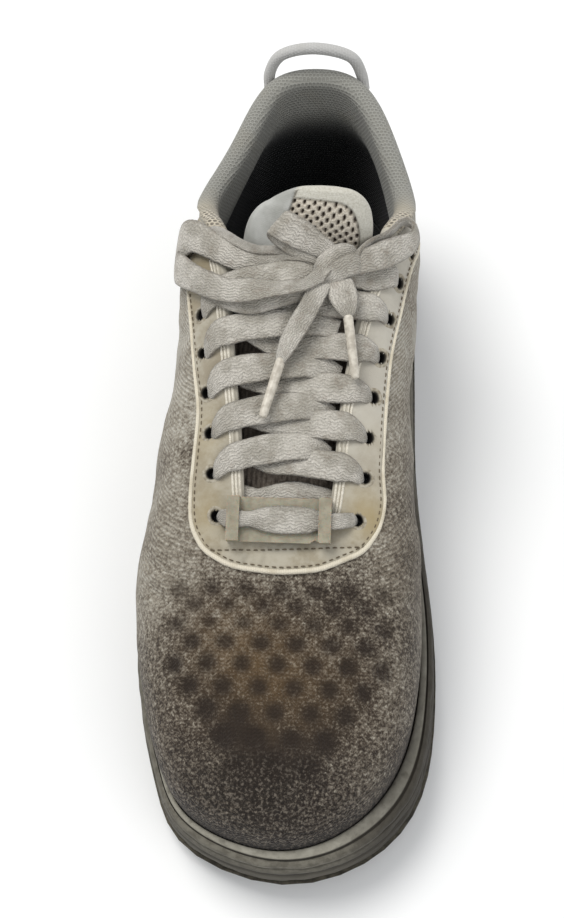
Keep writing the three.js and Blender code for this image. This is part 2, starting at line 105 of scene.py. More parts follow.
def unit(v):
    return v / np.maximum(np.linalg.norm(v, axis=-1, keepdims=True), 1e-9)


def lumps(points, size, seed):
    """Smooth random swelling, about -1 to 1, in lumps of that size."""
    waves = 22
    draw = np.random.default_rng(seed)
    total = np.zeros(points.shape[:-1])
    for _ in range(waves):
        way = unit(draw.normal(size=3)) * draw.uniform(0.6, 1.5) * TAU / size
        total += np.sin(points @ way + draw.uniform(0, TAU))
    return total / np.sqrt(waves) / 1.6


def closed_curve(rows):
    """A smooth closed curve through rows of numbers, at whole values of its parameter."""
    rows = np.asarray(rows, float)
    control = rows.copy()
    for _ in range(60):
        control = (6 * rows - np.roll(control, 1, 0) - np.roll(control, -1, 0)) / 4
    count = len(rows)

    def at(u):
        u = np.asarray(u, float)
        i = np.floor(u).astype(int)
        t = (u - i)[..., None]
        weights = ((1 - t) ** 3, 3 * t**3 - 6 * t**2 + 4, -3 * t**3 + 3 * t**2 + 3 * t + 1, t**3)
        return sum(w / 6 * control[(i + j - 1) % count] for j, w in enumerate(weights))

    return at


def through(points, t):
    """A smooth open curve through points, at values of t from 0 to 1."""
    p = np.asarray(points, float)
    ends = np.vstack([2 * p[0] - p[1], p, 2 * p[-1] - p[-2]])
    place = np.clip(np.asarray(t, float), 0, 1) * (len(p) - 1)
    i = np.minimum(place.astype(int), len(p) - 2)
    w = (place - i)[:, None]
    p0, p1, p2, p3 = (ends[i + k] for k in range(4))
    gap = [np.sqrt(np.linalg.norm(b - a, axis=1))[:, None] for a, b in ((p0, p1), (p1, p2), (p2, p3))]
    gap[1] = np.where(gap[1] < 1e-2, 1.0, gap[1])
    gap[0], gap[2] = (np.where(g < 1e-2, gap[1], g) for g in (gap[0], gap[2]))
    m1 = gap[1] * ((p1 - p0) / gap[0] - (p2 - p0) / (gap[0] + gap[1]) + (p2 - p1) / gap[1])
    m2 = gap[1] * ((p2 - p1) / gap[1] - (p3 - p1) / (gap[1] + gap[2]) + (p3 - p2) / gap[2])
    return p1 + m1 * w + (3 * (p2 - p1) - 2 * m1 - m2) * w**2 + (2 * (p1 - p2) + m1 + m2) * w**3


def even_steps(points, step):
    """Values of t that walk the curve through points in even steps."""
    t = np.linspace(0, 1, 60 * (len(points) - 1) + 1)
    walked = walk(through(points, t))
    count = max(3, int(round(walked[-1] / step)) + 1)
    return np.interp(np.linspace(0, walked[-1], count), walked, t), np.linspace(0, walked[-1], count)


# ---------------------------------------------------------------- the shoe's own sizes

GAP = 0.3  # clearance between nested pieces
WALL = 2.6
COLLAR_WALL = 8.5
CUP = -0.2  # v where the upper ends, down in the cup
TREAD = 5
FIRST_ROW = -41.5  # y of the lowest pair of eyelets
ROW_PITCH = 14.1
EYELET_ROWS = 8
EYELET_INSET = 10
HOLE_INSET = EYELET_INSET + 0.4  # as punched, out from the throat's edge
HOLE_BACK = 0.3  # how far behind its row's y a hole is punched
LACE_WIDTH = 9
LACE_THICK = 1.9
TAG_AT, TAG_TILT = (-3.3, -43.4, 77.5), np.radians(21)

# From the heel back along both sides to the toe tip: y, sole half widths, edge (two half widths, y, z),
# rise, lean, reach, drop, puff, lip, pad. Pairs are medial then lateral.
STATIONS = (
    (149.5, (0, 0), (1, -1, 147, 96.5), 34, (2, 2), 0.1, 26, (0, 0), (6, 6), 1),
    (140, (27, 27), (21, 19, 139.5, 95), 34, (2, 2), 0.3, 26, (0, 0), (6, 6), 1),
    (113, (41, 41), (34, 31.5, 114.5, 89), 34, (2, 2), 0.5, 26, (0, 0), (6, 6), 1),
    (80, (42.5, 44.5), (41, 42, 90, 86), 36, (4, 4), 0.6, 24, (2, 3), (6, 6), 1),
    (48, (43, 47.5), (38.5, 37, 66, 103), 44, (7, 5), 0.5, 20, (9, 12), (6, 6), 1),
    (14, (44, 51), (28, 28.5, 43, 105.5), 44, (8, 7), 0.8, 17, (4, 4), (6, 6), 0.7),
    (-22, (48, 55.5), (19, 22.5, 9, 93.5), 40, (8, 10), 0.8, 11, (0, 0), (6, 6), 0.15),
    (-56, (52, 58), (16, 18.5, -17, 85), 35, (6, 13), 0.72, 9, (0, 0), (6, 6), 0),
    (-88, (52.5, 55.5), (14.5, 16.5, -36, 77.5), 30, (4, 11), 0.66, 9, (0, 0), (6.5, 5.5), 0),
    (-117, (48, 47), (11.5, 13.5, -45, 74), 28, (3, 10), 0.6, 10, (0, 0), (8.5, 5), 0),
    (-140, (32, 33), (6, 8, -48.8, 72.2), 28, (2, 6), 0.58, 13, (0, 0), (8.5, 5.5), 0),
    (-151.5, (1, -1), (-1, 1, -49.8, 71.8), 28, (2, 2), 0.58, 14, (0, 0), (6.8, 6.8), 0),
)


def station_rows(side):
    """Each station's sole rim, collar edge and habit of shape, on the medial (0) or lateral (1) side."""
    sign = -1 if side else 1
    return [
        (
            [sign * sole[side], y],
            [sign * edge[side], edge[2], edge[3]],
            [rise, lean[side], reach, drop, puff[side], pad, lip[side]],
        )
        for y, sole, edge, rise, lean, reach, drop, puff, lip, pad in STATIONS
    ]


AROUND = station_rows(0) + station_rows(1)[-2:0:-1]
COUNT = len(AROUND)
rim_line, edge_line, habit = (closed_curve([row[k] for row in AROUND]) for k in range(3))


def toe_spring(y):
    return 9 * np.clip((-92 - y) / 58, 0, 1) ** 2


def ground_height(y):
    heel_bevel = 2.5 * np.clip((y - 132) / 17, 0, 1) ** 2
    return toe_spring(y) + heel_bevel + 1.6 * ramp(y, -22, 6) * ramp(-y, -64, -36)


def floor_height(y):
    return 14 + 6 * ramp(y, -30, 80) + 0.55 * toe_spring(y)


def rim_height(y):
    return 26.5 + 6 * ramp(y, -30, 120) + 4.5 * ramp(-y, 90, 150)


def rim_at(u, inset=0):
    """The sole's rim in plan, moved inwards, and its outward direction."""
    here, along = rim_line(u), rim_line(u + 0.02) - rim_line(u - 0.02)
    out = unit(np.stack([-along[..., 1], along[..., 0]], -1))
    out = out * np.where((out * here).sum(-1, keepdims=True) > 0, 1, -1)
    return here - out * np.asarray(inset, float)[..., None], out


def foot_at(u, inset=0):
    """The line where the upper stands in the cup, moved inwards."""
    return rim_at(u, habit(u)[..., 6] + inset)


def outside(u, v):
    """The upper's outside: u round the shoe, v from the cup's floor past its rim (0) to the opening (1)."""
    u, v = np.broadcast_arrays(np.asarray(u, float), np.asarray(v, float))
    rise, lean, reach, drop, puff = (habit(u)[..., k] for k in range(5))
    foot, out = foot_at(u)
    edge = edge_line(u)
    rim = rim_height(foot[..., 1])
    a = np.concatenate([foot, rim[..., None]], -1)
    b = np.concatenate([foot + out * lean[..., None], (rim + rise)[..., None]], -1)
    bulge = lerp(edge[..., :2], foot, reach[..., None]) + out * puff[..., None]
    c = np.concatenate([bulge, (edge[..., 2] - drop)[..., None]], -1)
    t = np.clip(v, 0, 1)[..., None]
    p = (1 - t) ** 3 * a + 3 * t * (1 - t) ** 2 * b + 3 * t * t * (1 - t) * c + t**3 * edge
    low = lerp(rim, floor_height(foot[..., 1]) + GAP, v / CUP)
    p[..., 2] = np.where(v < 0, low, p[..., 2])
    return p


def outward(u, v):
    along = outside(u + 0.03, v) - outside(u - 0.03, v)
    up = outside(u, np.minimum(1, v + 0.02)) - outside(u, np.maximum(CUP, v - 0.02))
    return unit(np.cross(up, along))


def inside(u, v):
    wall = WALL + habit(u)[..., 5] * (COLLAR_WALL - WALL) * ramp(v, 0.35, 0.85)
    return outside(u, v) - outward(u, v) * wall[..., None]


def found(u, v, misses):
    """Newton steps on u and v until both misses are nothing."""
    for _ in range(8):
        here = misses(u, v)
        by_u = (misses(u + 1e-3, v) - here) / 1e-3
        by_v = (misses(u, v + 1e-3) - here) / 1e-3
        det = by_u[..., 0] * by_v[..., 1] - by_v[..., 0] * by_u[..., 1]
        det = np.where(np.abs(det) < 1e-6, 1e-6, det)
        u = u - np.clip((here[..., 0] * by_v[..., 1] - by_v[..., 0] * here[..., 1]) / det, -0.4, 0.4)
        v = np.clip(v - np.clip((by_u[..., 0] * here[..., 1] - here[..., 0] * by_u[..., 1]) / det, -0.15, 0.15), 0, 1)
    return u, v


EDGE_U = np.linspace(3.6, 11, 1500)  # the throat's edge, from the collar's corner to the front
EDGE_Y = {1: edge_line(EDGE_U)[:, 1], -1: edge_line(COUNT - EDGE_U)[:, 1]}


def stay_place(side, y, inset):
    """u and v of a point of the upper at y, a given way out from the throat's edge."""
    u = np.interp(-np.asarray(y, float), -EDGE_Y[side], EDGE_U)
    u = u if side > 0 else COUNT - u
    start = outside(u, 1.0)
    if not np.any(inset):
        return u, np.ones(np.shape(u))
    return found(
        u, 1 - inset / 60,  # a first guess: the upper is about 60 high
        lambda a, b: np.stack([outside(a, b)[..., 1] - y, np.linalg.norm(outside(a, b) - start, axis=-1) - inset], -1),
    )


def eyestay(side, y, inset):
    """The same as a point and the way the upper faces there."""
    u, v = stay_place(side, y, inset)
    return outside(u, v), outward(u, v)


def row_y(row):
    return FIRST_ROW + ROW_PITCH * row


def hole_place(side, row):
    """An eyelet's centre and the way it faces."""
    return eyestay(side, row_y(row) - HOLE_BACK, HOLE_INSET)


def under_plan(x, y):
    """Where the upper's outside lies at plan points: u and v."""
    x, y = np.asarray(x, float), np.asarray(y, float)
    guess_u, guess_v = np.meshgrid(np.linspace(0, COUNT, 177)[:-1], np.linspace(0.25, 1, 31))
    spots = outside(guess_u, guess_v)[..., :2].reshape(-1, 2)
    near = np.argmin((spots[None, :, 0] - x[:, None]) ** 2 + (spots[None, :, 1] - y[:, None]) ** 2, axis=1)
    return found(
        guess_u.ravel()[near], guess_v.ravel()[near],
        lambda a, b: outside(a, b)[..., :2] - np.stack([x, y], -1),
    )


def near_line(points, line):
    """Distance of each point from a dense line, and the index of its nearest point."""
    tree = KDTree(len(line))
    for i, p in enumerate(line):
        tree.insert(p, i)
    tree.balance()
    hits = [tree.find(p)[1:] for p in points]
    return np.array([h[1] for h in hits]), np.array([h[0] for h in hits])


# ---------------------------------------------------------------- meshes


def grid_faces(rows, columns, closed=False):
    """Four-sided faces between closed rows of points; when closed, the last row joins the first."""
    i = np.arange(rows if closed else rows - 1)[:, None]
    j = np.arange(columns)[None, :]
    a, b = i * columns, (i + 1) % rows * columns
    k = (j + 1) % columns
    return np.stack([a + j, b + j, b + k, a + k], -1).reshape(-1, 4)


def face_outwards(mesh):
    """Turns every face of every closed part to look outwards."""
    work = bmesh.new()
    work.from_mesh(mesh)
    bmesh.ops.recalc_face_normals(work, faces=work.faces)
    work.to_mesh(mesh)
    work.free()
    mesh.update()


def piece(name, points, faces, finishes, slot, fields=None, which=None, replaces=()):
    """A shown piece from measured points, with number fields for its finish to read."""
    mesh = bpy.data.meshes.new(name)
    mesh.from_pydata(placed(points).reshape(-1, 3).tolist(), [], [list(map(int, f)) for f in faces])
    mesh.polygons.foreach_set("use_smooth", np.ones(len(mesh.polygons), bool))
    for key, values in (fields or {}).items():
        mesh.attributes.new(key, "FLOAT", "POINT").data.foreach_set("value", np.asarray(values, np.float32).ravel())
    for finish in finishes:
        mesh.materials.append(finish)
    if which is not None:
        mesh.polygons.foreach_set("material_index", np.asarray(which, np.int32))
    face_outwards(mesh)
    made = linked(name, mesh)
    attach(made, "root")
    if replaces:
        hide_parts(*replaces)
    return made


def merged(*parts):
    """Several (points, faces, fields) as one."""
    points, faces, fields, start = [], [], [], 0
    for p, f, d in parts:
        points.append(np.reshape(p, (-1, 3)))
        faces.extend([int(i) + start for i in face] for face in f)
        fields.append(d)
        start += len(points[-1])
    keys = fields[0].keys()
    return np.vstack(points), faces, {k: np.concatenate([np.ravel(d[k]) for d in fields]) for k in keys}


def around_ring(sides):
    return np.linspace(0, TAU, sides, endpoint=False)


def swept(middle, along, side, up, half, thick, bow=0, lag=0, sides=24, power=0.6):
    """A band's rings: rounded flat sections on a line. Bow bends a section's edges down, lag back."""
    c, s = np.cos(around_ring(sides)), np.sin(around_ring(sides))
    lift = np.sign(s) * np.abs(s) ** power
    half, thick, bow, lag = (
        np.broadcast_to(np.asarray(v, float), len(middle))[:, None] for v in (half, thick, bow, lag)
    )
    up_by = lift * thick / 2 - bow * c * c
    return (
        middle[:, None]
        - along[:, None] * (lag * c * c)[..., None]
        + side[:, None] * (c * half)[..., None]
        + up[:, None] * up_by[..., None]
    )


def capped(rings, sides):
    """Faces of a tube of rings, with its ends closed by strips."""
    faces = grid_faces(rings, sides)[:, ::-1].tolist()
    for base, flip in ((0, 1), ((rings - 1) * sides, -1)):
        for j in range(sides // 2):
            strip = list(dict.fromkeys([base + j, base + j + 1, base + sides - j - 1, base + (sides - j) % sides]))
            faces.append(strip[::flip] if len(strip) > 2 else strip)
    return [f for f in faces if len(f) > 2]


LACE_STEP, LACE_SIDES = 0.8, 24
PICK = 1.9  # mm between the nicks that the weft leaves in a lace's edge


def ribbon(rows, seed):
    """A lace through rows of x, y, z, width, and the way its face looks."""
    rows = np.asarray(rows, float)
    t, walked = even_steps(rows[:, :3], LACE_STEP)
    middle, width, face = through(rows[:, :3], t), through(rows[:, 3:4], t)[:, 0], unit(through(rows[:, 4:7], t))
    along = unit(np.gradient(middle, axis=0))
    side = unit(np.cross(along, face))
    up = np.cross(side, along)
    draw = np.random.default_rng(seed)
    phase = draw.uniform(0, TAU, 4)
    half = width / 2 * (1 + 0.03 * np.sin(walked / 5.1 + phase[0]) + 0.02 * np.sin(walked / 2.3 + phase[1]))
    half = half + 0.1 * np.abs(np.sin(walked * np.pi / PICK))
    tilt = 0.06 * np.sin(walked / 8 + phase[2])
    side, up = side + up * tilt[:, None], up - side * tilt[:, None]
    thick = LACE_THICK * (1 + 0.35 * ramp(0.75 - width / LACE_WIDTH, 0, 0.35))  # a gathered lace is thicker
    rings = swept(middle, along, side, up, half, thick, sides=LACE_SIDES, power=0.75)
    across = np.cos(around_ring(LACE_SIDES))[None] * LACE_WIDTH / 2 * np.ones(len(t))[:, None]
    fields = {"across": across, "along": np.repeat(walked[:, None], LACE_SIDES, 1)}
    return rings.reshape(-1, 3), capped(len(t), LACE_SIDES), fields, middle


STITCH_PITCH, STITCH_LENGTH, STITCH_RADIUS = 2.5, 1.6, 0.22
# Rings of one stitch: share of its length, shares of its radius across and up.
STITCH_RINGS = ((-0.5, 0.3, -0.9), (-0.36, 0.9, 0.1), (0, 1.0, 0.5), (0.36, 0.9, 0.1), (0.5, 0.3, -0.9))
STITCH_SIDES = 6


def threads(lines):
    """Stitches along dense lines of points and normals: short rounded threads that dive at their ends."""
    rings_each, sides = len(STITCH_RINGS), STITCH_SIDES
    points, faces = [], []
    for line, normals in lines:
        walked = walk(line)
        stops = np.arange(STITCH_PITCH / 2, walked[-1], STITCH_PITCH)
        at, ahead, behind = (
            np.stack([np.interp(stops + by, walked, line[:, k]) for k in range(3)], -1) for by in (0, 0.4, -0.4)
        )
        up = unit(np.stack([np.interp(stops, walked, normals[:, k]) for k in range(3)], -1))
        way = unit(ahead - behind)
        side = unit(np.cross(way, up))
        for centre, w, n, b in zip(at, way, up, side):
            base = len(points) * rings_each * sides
            points.append([
                centre + w * x * STITCH_LENGTH + (n * z + (b * np.cos(a) + n * np.sin(a)) * r) * STITCH_RADIUS
                for x, r, z in STITCH_RINGS
                for a in around_ring(sides)
            ])
            last = base + (rings_each - 1) * sides
            faces.extend((grid_faces(rings_each, sides)[:, ::-1] + base).tolist())
            faces += [[base + k for k in range(sides)], [last + k for k in reversed(range(sides))]]
    return np.array(points).reshape(-1, 3), faces


# ---------------------------------------------------------------- finishes


class Wire:
    """A socket in an expression: arithmetic on it adds Math nodes."""

    def __init__(self, finish, socket):
        self.finish, self.socket = finish, socket

    def _do(self, operation, *values):
        return self.finish.node("ShaderNodeMath", {"operation": operation}, dict(enumerate(values)))

    def __add__(self, other):
        return self._do("ADD", self, other)

    def __sub__(self, other):
        return self._do("SUBTRACT", self, other)

    def __rsub__(self, other):
        return self._do("SUBTRACT", other, self)

    def __mul__(self, other):
        return self._do("MULTIPLY", self, other)

    __radd__, __rmul__ = __add__, __mul__

    def __truediv__(self, other):
        return self._do("DIVIDE", self, other)

    def __pow__(self, other):
        return self._do("POWER", self, other)

    def __abs__(self):
        return self._do("ABSOLUTE", self)

    def wave(self):
        """0 to 1 and back, once for each whole step of the value."""
        return self._do("SINE", self * TAU) * 0.5 + 0.5

    def part(self):
        return self._do("FRACT", self)

    def floor(self):
        return self._do("FLOOR", self)

    def clipped(self):
        return self._do("MINIMUM", self._do("MAXIMUM", self, 0.0), 1.0)

    def ramp(self, low, high):
        """A smooth step from 0 to 1 as the value goes from low to high."""
        return self.finish.node(
            "ShaderNodeMapRange", {"interpolation_type": "SMOOTHSTEP"},
            {"Value": self, "From Min": low, "From Max": high, "To Min": 0, "To Max": 1},
        )

    def near(self, middle, half):
        """1 at the middle, 0 beyond half."""
        return abs(self - middle).ramp(half, 0)


class Finish:
    """A material for one kind of surface. Its shader's own sockets take the numbers that are the same all over."""

    def __init__(self, name, **own):
        self.material = bpy.data.materials.new(name)
        self.material.use_nodes = True
        self.tree = self.material.node_tree
        self.tree.nodes.clear()
        out = self.tree.nodes.new("ShaderNodeOutputMaterial")
        self.shader = self.tree.nodes.new("ShaderNodeBsdfPrincipled")
        self.tree.links.new(self.shader.outputs[0], out.inputs["Surface"])
        for key, value in own.items():
            self.shader.inputs[key.replace("_", " ")].default_value = value
        spot = self.node("ShaderNodeTexCoord", out="Object")
        self.spot = self.node("ShaderNodeVectorMath", {"operation": "SCALE"}, {0: spot, "Scale": 1000.0})
        self.x, self.y, self.z = (self.node("ShaderNodeSeparateXYZ", {}, {0: self.spot}, out=k) for k in range(3))

    def node(self, kind, settings=None, values=None, out=0):
        made = self.tree.nodes.new(kind)
        for key, value in (settings or {}).items():
            if key == "stops":
                ramp_of = made.color_ramp
                while len(ramp_of.elements) < len(value):
                    ramp_of.elements.new(0.5)
                for element, (at, color) in zip(ramp_of.elements, value):
                    element.position, element.color = at, tint(color)
            else:
                setattr(made, key, value)
        for key, value in (values or {}).items():
            if isinstance(value, Wire):
                self.tree.links.new(value.socket, made.inputs[key])
            else:
                made.inputs[key].default_value = value
        return Wire(self, made.outputs[out])

    def field(self, name):
        return self.node("ShaderNodeAttribute", {"attribute_name": name}, out="Fac")

    def noise(self, scale, detail=2.0, spot=None, rough=0.5):
        """Cloudy noise, about 0.25 to 0.75, in lumps of 1 / scale mm."""
        return self.node(
            "ShaderNodeTexNoise", {},
            {"Vector": spot or self.spot, "Scale": scale, "Detail": detail, "Roughness": rough},
        )

    def mix(self, factor, a, b):
        """From colour a to colour b."""
        a, b = (v if isinstance(v, Wire) else tint(v) for v in (a, b))
        return self.node("ShaderNodeMix", {"data_type": "RGBA"}, {0: factor, 6: a, 7: b}, out=2)

    def coats(self, color, *coats):
        """A colour with others laid over it in turn, each as strongly as its factor."""
        for factor, coat in coats:
            color = self.mix(factor, color, coat)
        return color

    def on_planes(self, look):
        """look(across, along) seen along whichever axis the surface faces most."""
        facing = self.node("ShaderNodeTexCoord", out="Normal")
        nx, ny, nz = (abs(self.node("ShaderNodeSeparateXYZ", {}, {0: facing}, out=k)) ** 4 for k in range(3))
        total = nx + ny + nz
        return (look(self.y, self.z) * nx + look(self.x, self.z) * ny + look(self.x, self.y) * nz) / total

    def done(self, color, roughness, height=None, depth=0.3, strength=1.0):
        """Colour, roughness, and a bump whose full height is depth in mm."""
        self.tree.links.new(color.socket, self.shader.inputs["Base Color"])
        if isinstance(roughness, Wire):
            self.tree.links.new(roughness.socket, self.shader.inputs["Roughness"])
        else:
            self.shader.inputs["Roughness"].default_value = roughness
        if height is not None:
            bump = self.node("ShaderNodeBump", {}, {"Height": height, "Distance": depth * MM, "Strength": strength})
            self.tree.links.new(bump.socket, self.shader.inputs["Normal"])
        return self.material


def tint(color):
    """A colour written as six hex digits, to the shader's linear numbers."""
    rgb = np.array([int(color[i : i + 2], 16) for i in (0, 2, 4)]) / 255
    linear = np.where(rgb <= 0.04045, rgb / 12.92, ((rgb + 0.055) / 1.055) ** 2.4)
    return (*linear.tolist(), 1.0)


def knit(across, along, wale=1.6, course=1.3):
    """Height of plain knit: columns of small V stitches."""
    off = abs((across / wale).part() - 0.5) * 2
    return (along / course + off * 0.55).wave() * (1 - off**4)


def upper_finish():
    """Knit with its dirt, and the smooth panel round the throat, told apart by the panel field."""
    f = Finish("knit_and_panel", Specular_IOR_Level=0.2, Sheen_Weight=0.1, Sheen_Roughness=0.5)
    panel, soil, warm, pit, flank, front = (f.field(k) for k in ("panel", "soil", "warm", "pit", "flank", "front"))
    drift = f.noise(0.22, 3.0) * 3.0
    stitch = f.on_planes(lambda a, b: knit(a + drift, b + drift * 0.7))
    slant = ((f.y * 0.45 + f.z) / 1.25 + f.noise(0.15) * 0.6).wave()
    ridge = stitch * (1 - flank) + slant * flank
    grain = f.noise(0.66, 4.0, rough=0.75)
    fleck = f.noise(1.25, 3.0, rough=0.7)
    patch = f.noise(0.07, 4.0, rough=0.6)
    dirt = soil + (patch - 0.5) * 0.5 + (grain - 0.5) * 2.4 * (0.35 + soil) - stitch * 0.15 + pit * 0.35
    cloth = f.node(
        "ShaderNodeValToRGB",
        {"stops": ((0.0, "b8b4a9"), (0.25, "9d978a"), (0.5, "736b5f"), (0.75, "494138"), (1.0, "2a241f"))},
        {0: dirt.clipped()},
    )
    pale = (fleck + ridge * 0.05 - 0.03).ramp(0.5, 0.7) * (0.15 + soil * 0.45) * (1 - pit * 0.75)
    tuft = f.noise(0.95, 3.0, rough=0.6)
    wales = (f.x / 1.5 + f.noise(0.3) * 2.5).wave()
    cloth = f.coats(
        cloth,
        (warm * (1 - pit * 0.6) * (0.35 + patch * 0.5), "6b5436"),
        (pale * soil.ramp(1.35, 0.85), "968d7e"),
        ((1 - ridge) * 0.13, "2a241e"),
        ((fleck + ridge * 0.1).ramp(0.48, 0.3) * 0.6, "28221d"),
        (pit.ramp(0.15, 0.9) * 0.62, "261e18"),
        ((1 - slant) * flank * 0.35, "6f6658"),
        (wales * front * 0.35, "1f1a16"),
        (tuft.ramp(0.5, 0.68) * front * 0.5, "857c70"),
        (tuft.ramp(0.5, 0.34) * front * 0.8, "1a1511"),
    )
    smudge = f.noise(0.09, 5.0, rough=0.65)
    apron = f.field("apron")
    skin = f.coats(
        f.mix(smudge.ramp(0.36, 0.66), "aaa495", "948b79"),
        (f.noise(0.4, 4.0).ramp(0.52, 0.75) * 0.4, "857b67"),
        (f.field("tea") * (0.35 + smudge * 0.6), "9b8a62"),
        (apron * 0.6, "aca594"),
        (apron * smudge.ramp(0.46, 0.62) * 0.55, "8f856f"),
        (f.x.ramp(6, 24) * f.y.ramp(-45, 5) * 0.6, "bebab0"),  # cleaner up the medial side
        (f.field("crease") * 0.55, "6f6656"),
        (f.field("rim"), "6d6454"),
        (f.field("ridges"), "cdc7b8"),
    )
    on_panel = panel.ramp(-0.2, 0.2)
    color = f.coats(cloth, (on_panel, skin), (panel.near(0.0, 1.2) * 0.5, "4a4238"))
    height = ridge * (1 - on_panel) + (f.noise(2.2, 3.0) * 0.35 + 0.3) * on_panel + grain * 0.5
    rough = 0.93 - on_panel * 0.2 + (grain - 0.5) * 0.1
    return f.done(color, rough, height, depth=0.34, strength=0.8)


def lining_finish():
    """Fine air mesh round the collar, darkening further down: partly a darker lining, partly painted shade deep in the
    shoe.
    """
    f = Finish("collar_lining", Specular_IOR_Level=0.2, Sheen_Weight=0.15)
    deep, coarse, beige = f.field("deep"), f.field("coarse"), f.field("beige")

    def mesh(across, along, wide, high):
        row = (along / high).floor()
        shift = (row * 0.5).part()
        a, b = (across / wide + shift).part() - 0.5, (along / high).part() - 0.5
        return (a * a * 4 + b * b * 4).ramp(0.25, 0.75)

    fine = f.on_planes(lambda a, b: mesh(a, b, 1.5, 1.3))
    big = f.on_planes(lambda a, b: mesh(a, b, 2.0, 1.5))
    net = fine * (1 - coarse) + big * coarse
    color = f.coats(
        f.mix(beige, "96958e", "b0a58b"),
        (coarse * 0.7, "cbc3b5"),
        ((1 - net) * (0.3 + coarse * 0.55), "3a362f"),
        (f.noise(0.08, 4.0).ramp(0.5, 0.75) * 0.3, "8a8474"),
        # painted shade deeper in the shoe, over a darker lining
        (deep.ramp(0.0, 1.0), "0c0f10"),
    )
    return f.done(color, 0.92, net, depth=0.35)


def lace_finish():
    """Flat woven lace: ribs across in shallow zigzags, greyed by wear."""
    f = Finish("worn_lace", Specular_IOR_Level=0.2, Sheen_Weight=0.3, Sheen_Roughness=0.4)
    across, along = f.field("across"), f.field("along")
    wander = f.noise(0.7, 2.0) * 1.1
    ribs = (across / 1.05 + abs((along / 3.6).part() - 0.5) * 1.3 + wander * 1.5).wave()
    yarn = (along / 0.85 + f.noise(0.9) * 2).wave()
    fuzz = f.noise(1.5, 4.0, rough=0.75)
    weave = ribs * 0.75 + yarn * 0.25
    color = f.coats(
        f.mix(f.noise(0.11, 3.0).ramp(0.38, 0.62), "a5a095", "c6c1b7"),
        ((1 - weave) * 0.38, "6c665c"),
        (fuzz.ramp(0.48, 0.36) * 0.35, "6a6459"),
        (fuzz.ramp(0.55, 0.68) * 0.3, "dcd9d0"),
        # painted shade along both edges of a lace
        (abs(across).ramp(3.7, 4.5) * 0.6, "575045"),
        (f.noise(0.25, 4.0).ramp(0.54, 0.72) * 0.4, "82776a"),
    )
    return f.done(color, 0.9, weave + fuzz * 0.5, depth=0.32)


def plain_cloth(name, base, dark, scale, depth, dirt):
    """Close cloth, woven in steps of scale mm."""
    f = Finish(name, Specular_IOR_Level=0.25, Sheen_Weight=0.2)

    def plain_weave(a, b):
        return (a / scale).wave() * 0.5 + ((b / scale) + (a / scale).floor() * 0.5).wave() * 0.5

    weave = f.on_planes(plain_weave)
    color = f.coats(
        f.mix((1 - weave) * 0.3, base, dark),
        (f.noise(0.12, 4.0).ramp(0.5, 0.72) * 0.45, dirt),
    )
    return f.done(color, 0.9, weave, depth=depth)


def eyelet_finish():
    """Grubby worn rim of an eyelet, with painted shade black down its hole."""
    f = Finish("eyelet_edge", Specular_IOR_Level=0.2)
    grime = f.noise(0.9, 3.0)
    rim = f.mix(grime.ramp(0.35, 0.65), "aba494", "8d8473")
    return f.done(f.mix(f.field("deep"), rim, "0d0b09"), 0.85, grime, depth=0.15)


def thread_finish(name, base, dark):
    """Twisted sewing thread."""
    f = Finish(name, Specular_IOR_Level=0.3)
    ply = f.noise(3.0, 2.0)
    return f.done(f.mix(ply.ramp(0.4, 0.65) * 0.6, base, dark), 0.85, ply, depth=0.1)


def foam_finish():
    """Midsole sidewall: grey with ground-in dirt, darker towards the ground, with painted shade in its grooves and a
    painted shadow over brown dirt on the medial side.
    """
    f = Finish("worn_foam", Specular_IOR_Level=0.35)
    low, lip = f.field("low"), f.field("lip")
    scuff = f.noise(0.35, 5.0, rough=0.65)
    level = f.node("ShaderNodeVectorMath", {"operation": "MULTIPLY"}, {0: f.spot, 1: (0.25, 0.25, 1.6)})
    streak = f.noise(1.0, 3.0, spot=level)
    color = f.coats(
        f.mix(scuff.ramp(0.35, 0.65), "58544a", "6f6b60"),
        (low * 0.8, "4a463d"),
        (lip * (0.35 + scuff * 0.8), "9d998c"),
        (lip * f.noise(0.12, 3.0).ramp(0.52, 0.66) * 0.5, "b3afa2"),
        (streak.ramp(0.5, 0.75) * 0.5, "4a453b"),
        # painted shade darkening the grooves
        (f.field("groove") * 0.85, "1d1a16"),
        # painted shadow over brown dirt on the medial side
        (f.field("shade") * 0.8, "29241c"),
    )
    return f.done(color, 0.78 + (scuff - 0.5) * 0.2, scuff + streak * 0.6, depth=0.3)


def tread_finish():
    """Worn dark rubber with small studs."""
    f = Finish("worn_tread", Specular_IOR_Level=0.4)
    grime = f.noise(0.3, 5.0, rough=0.65)
    stud = f.on_planes(lambda a, b: (a / 4).wave() * (b / 4).wave())
    color = f.coats(f.mix(grime.ramp(0.35, 0.65), "3c3932", "5d584c"), (stud * 0.25, "6d685b"))
    return f.done(color, 0.82, grime * 0.6 + stud * 0.5, depth=0.4)


def tongue_finish():
    """Knitted air mesh with real holes, a smooth panel beside it, and a bound rim."""
    f = Finish("tongue_mesh", Specular_IOR_Level=0.25, Sheen_Weight=0.2)
    grubby = f.field("grubby")
    strand = f.noise(1.6, 3.0, rough=0.6)
    satin = f.mix(f.noise(0.1, 3.0).ramp(0.4, 0.65), "b0b0ab", "9a9a94")
    tape = f.mix(strand.ramp(0.3, 0.8), "c4c1b6", "aaa698")
    color = f.coats(
        f.mix(strand.ramp(0.35, 0.7), "c8c0b2", "a49b8b"),
        (f.field("hole") * (1 - grubby * 0.7), "3a2c24"),
        # painted shade low on the tongue, under the laces, which also dims its holes
        (grubby * (0.65 + strand * 0.3), "4d4137"),
        (f.field("smooth"), satin),
        (f.field("binding"), tape),
        (f.field("seam") * 0.8, "5c564c"),
    )
    fine = f.on_planes(lambda a, b: (a / 0.55).wave() * 0.5 + (b / 0.55).wave() * 0.5)
    return f.done(color, 0.88, strand * 0.6 + fine * 0.4, depth=0.15)


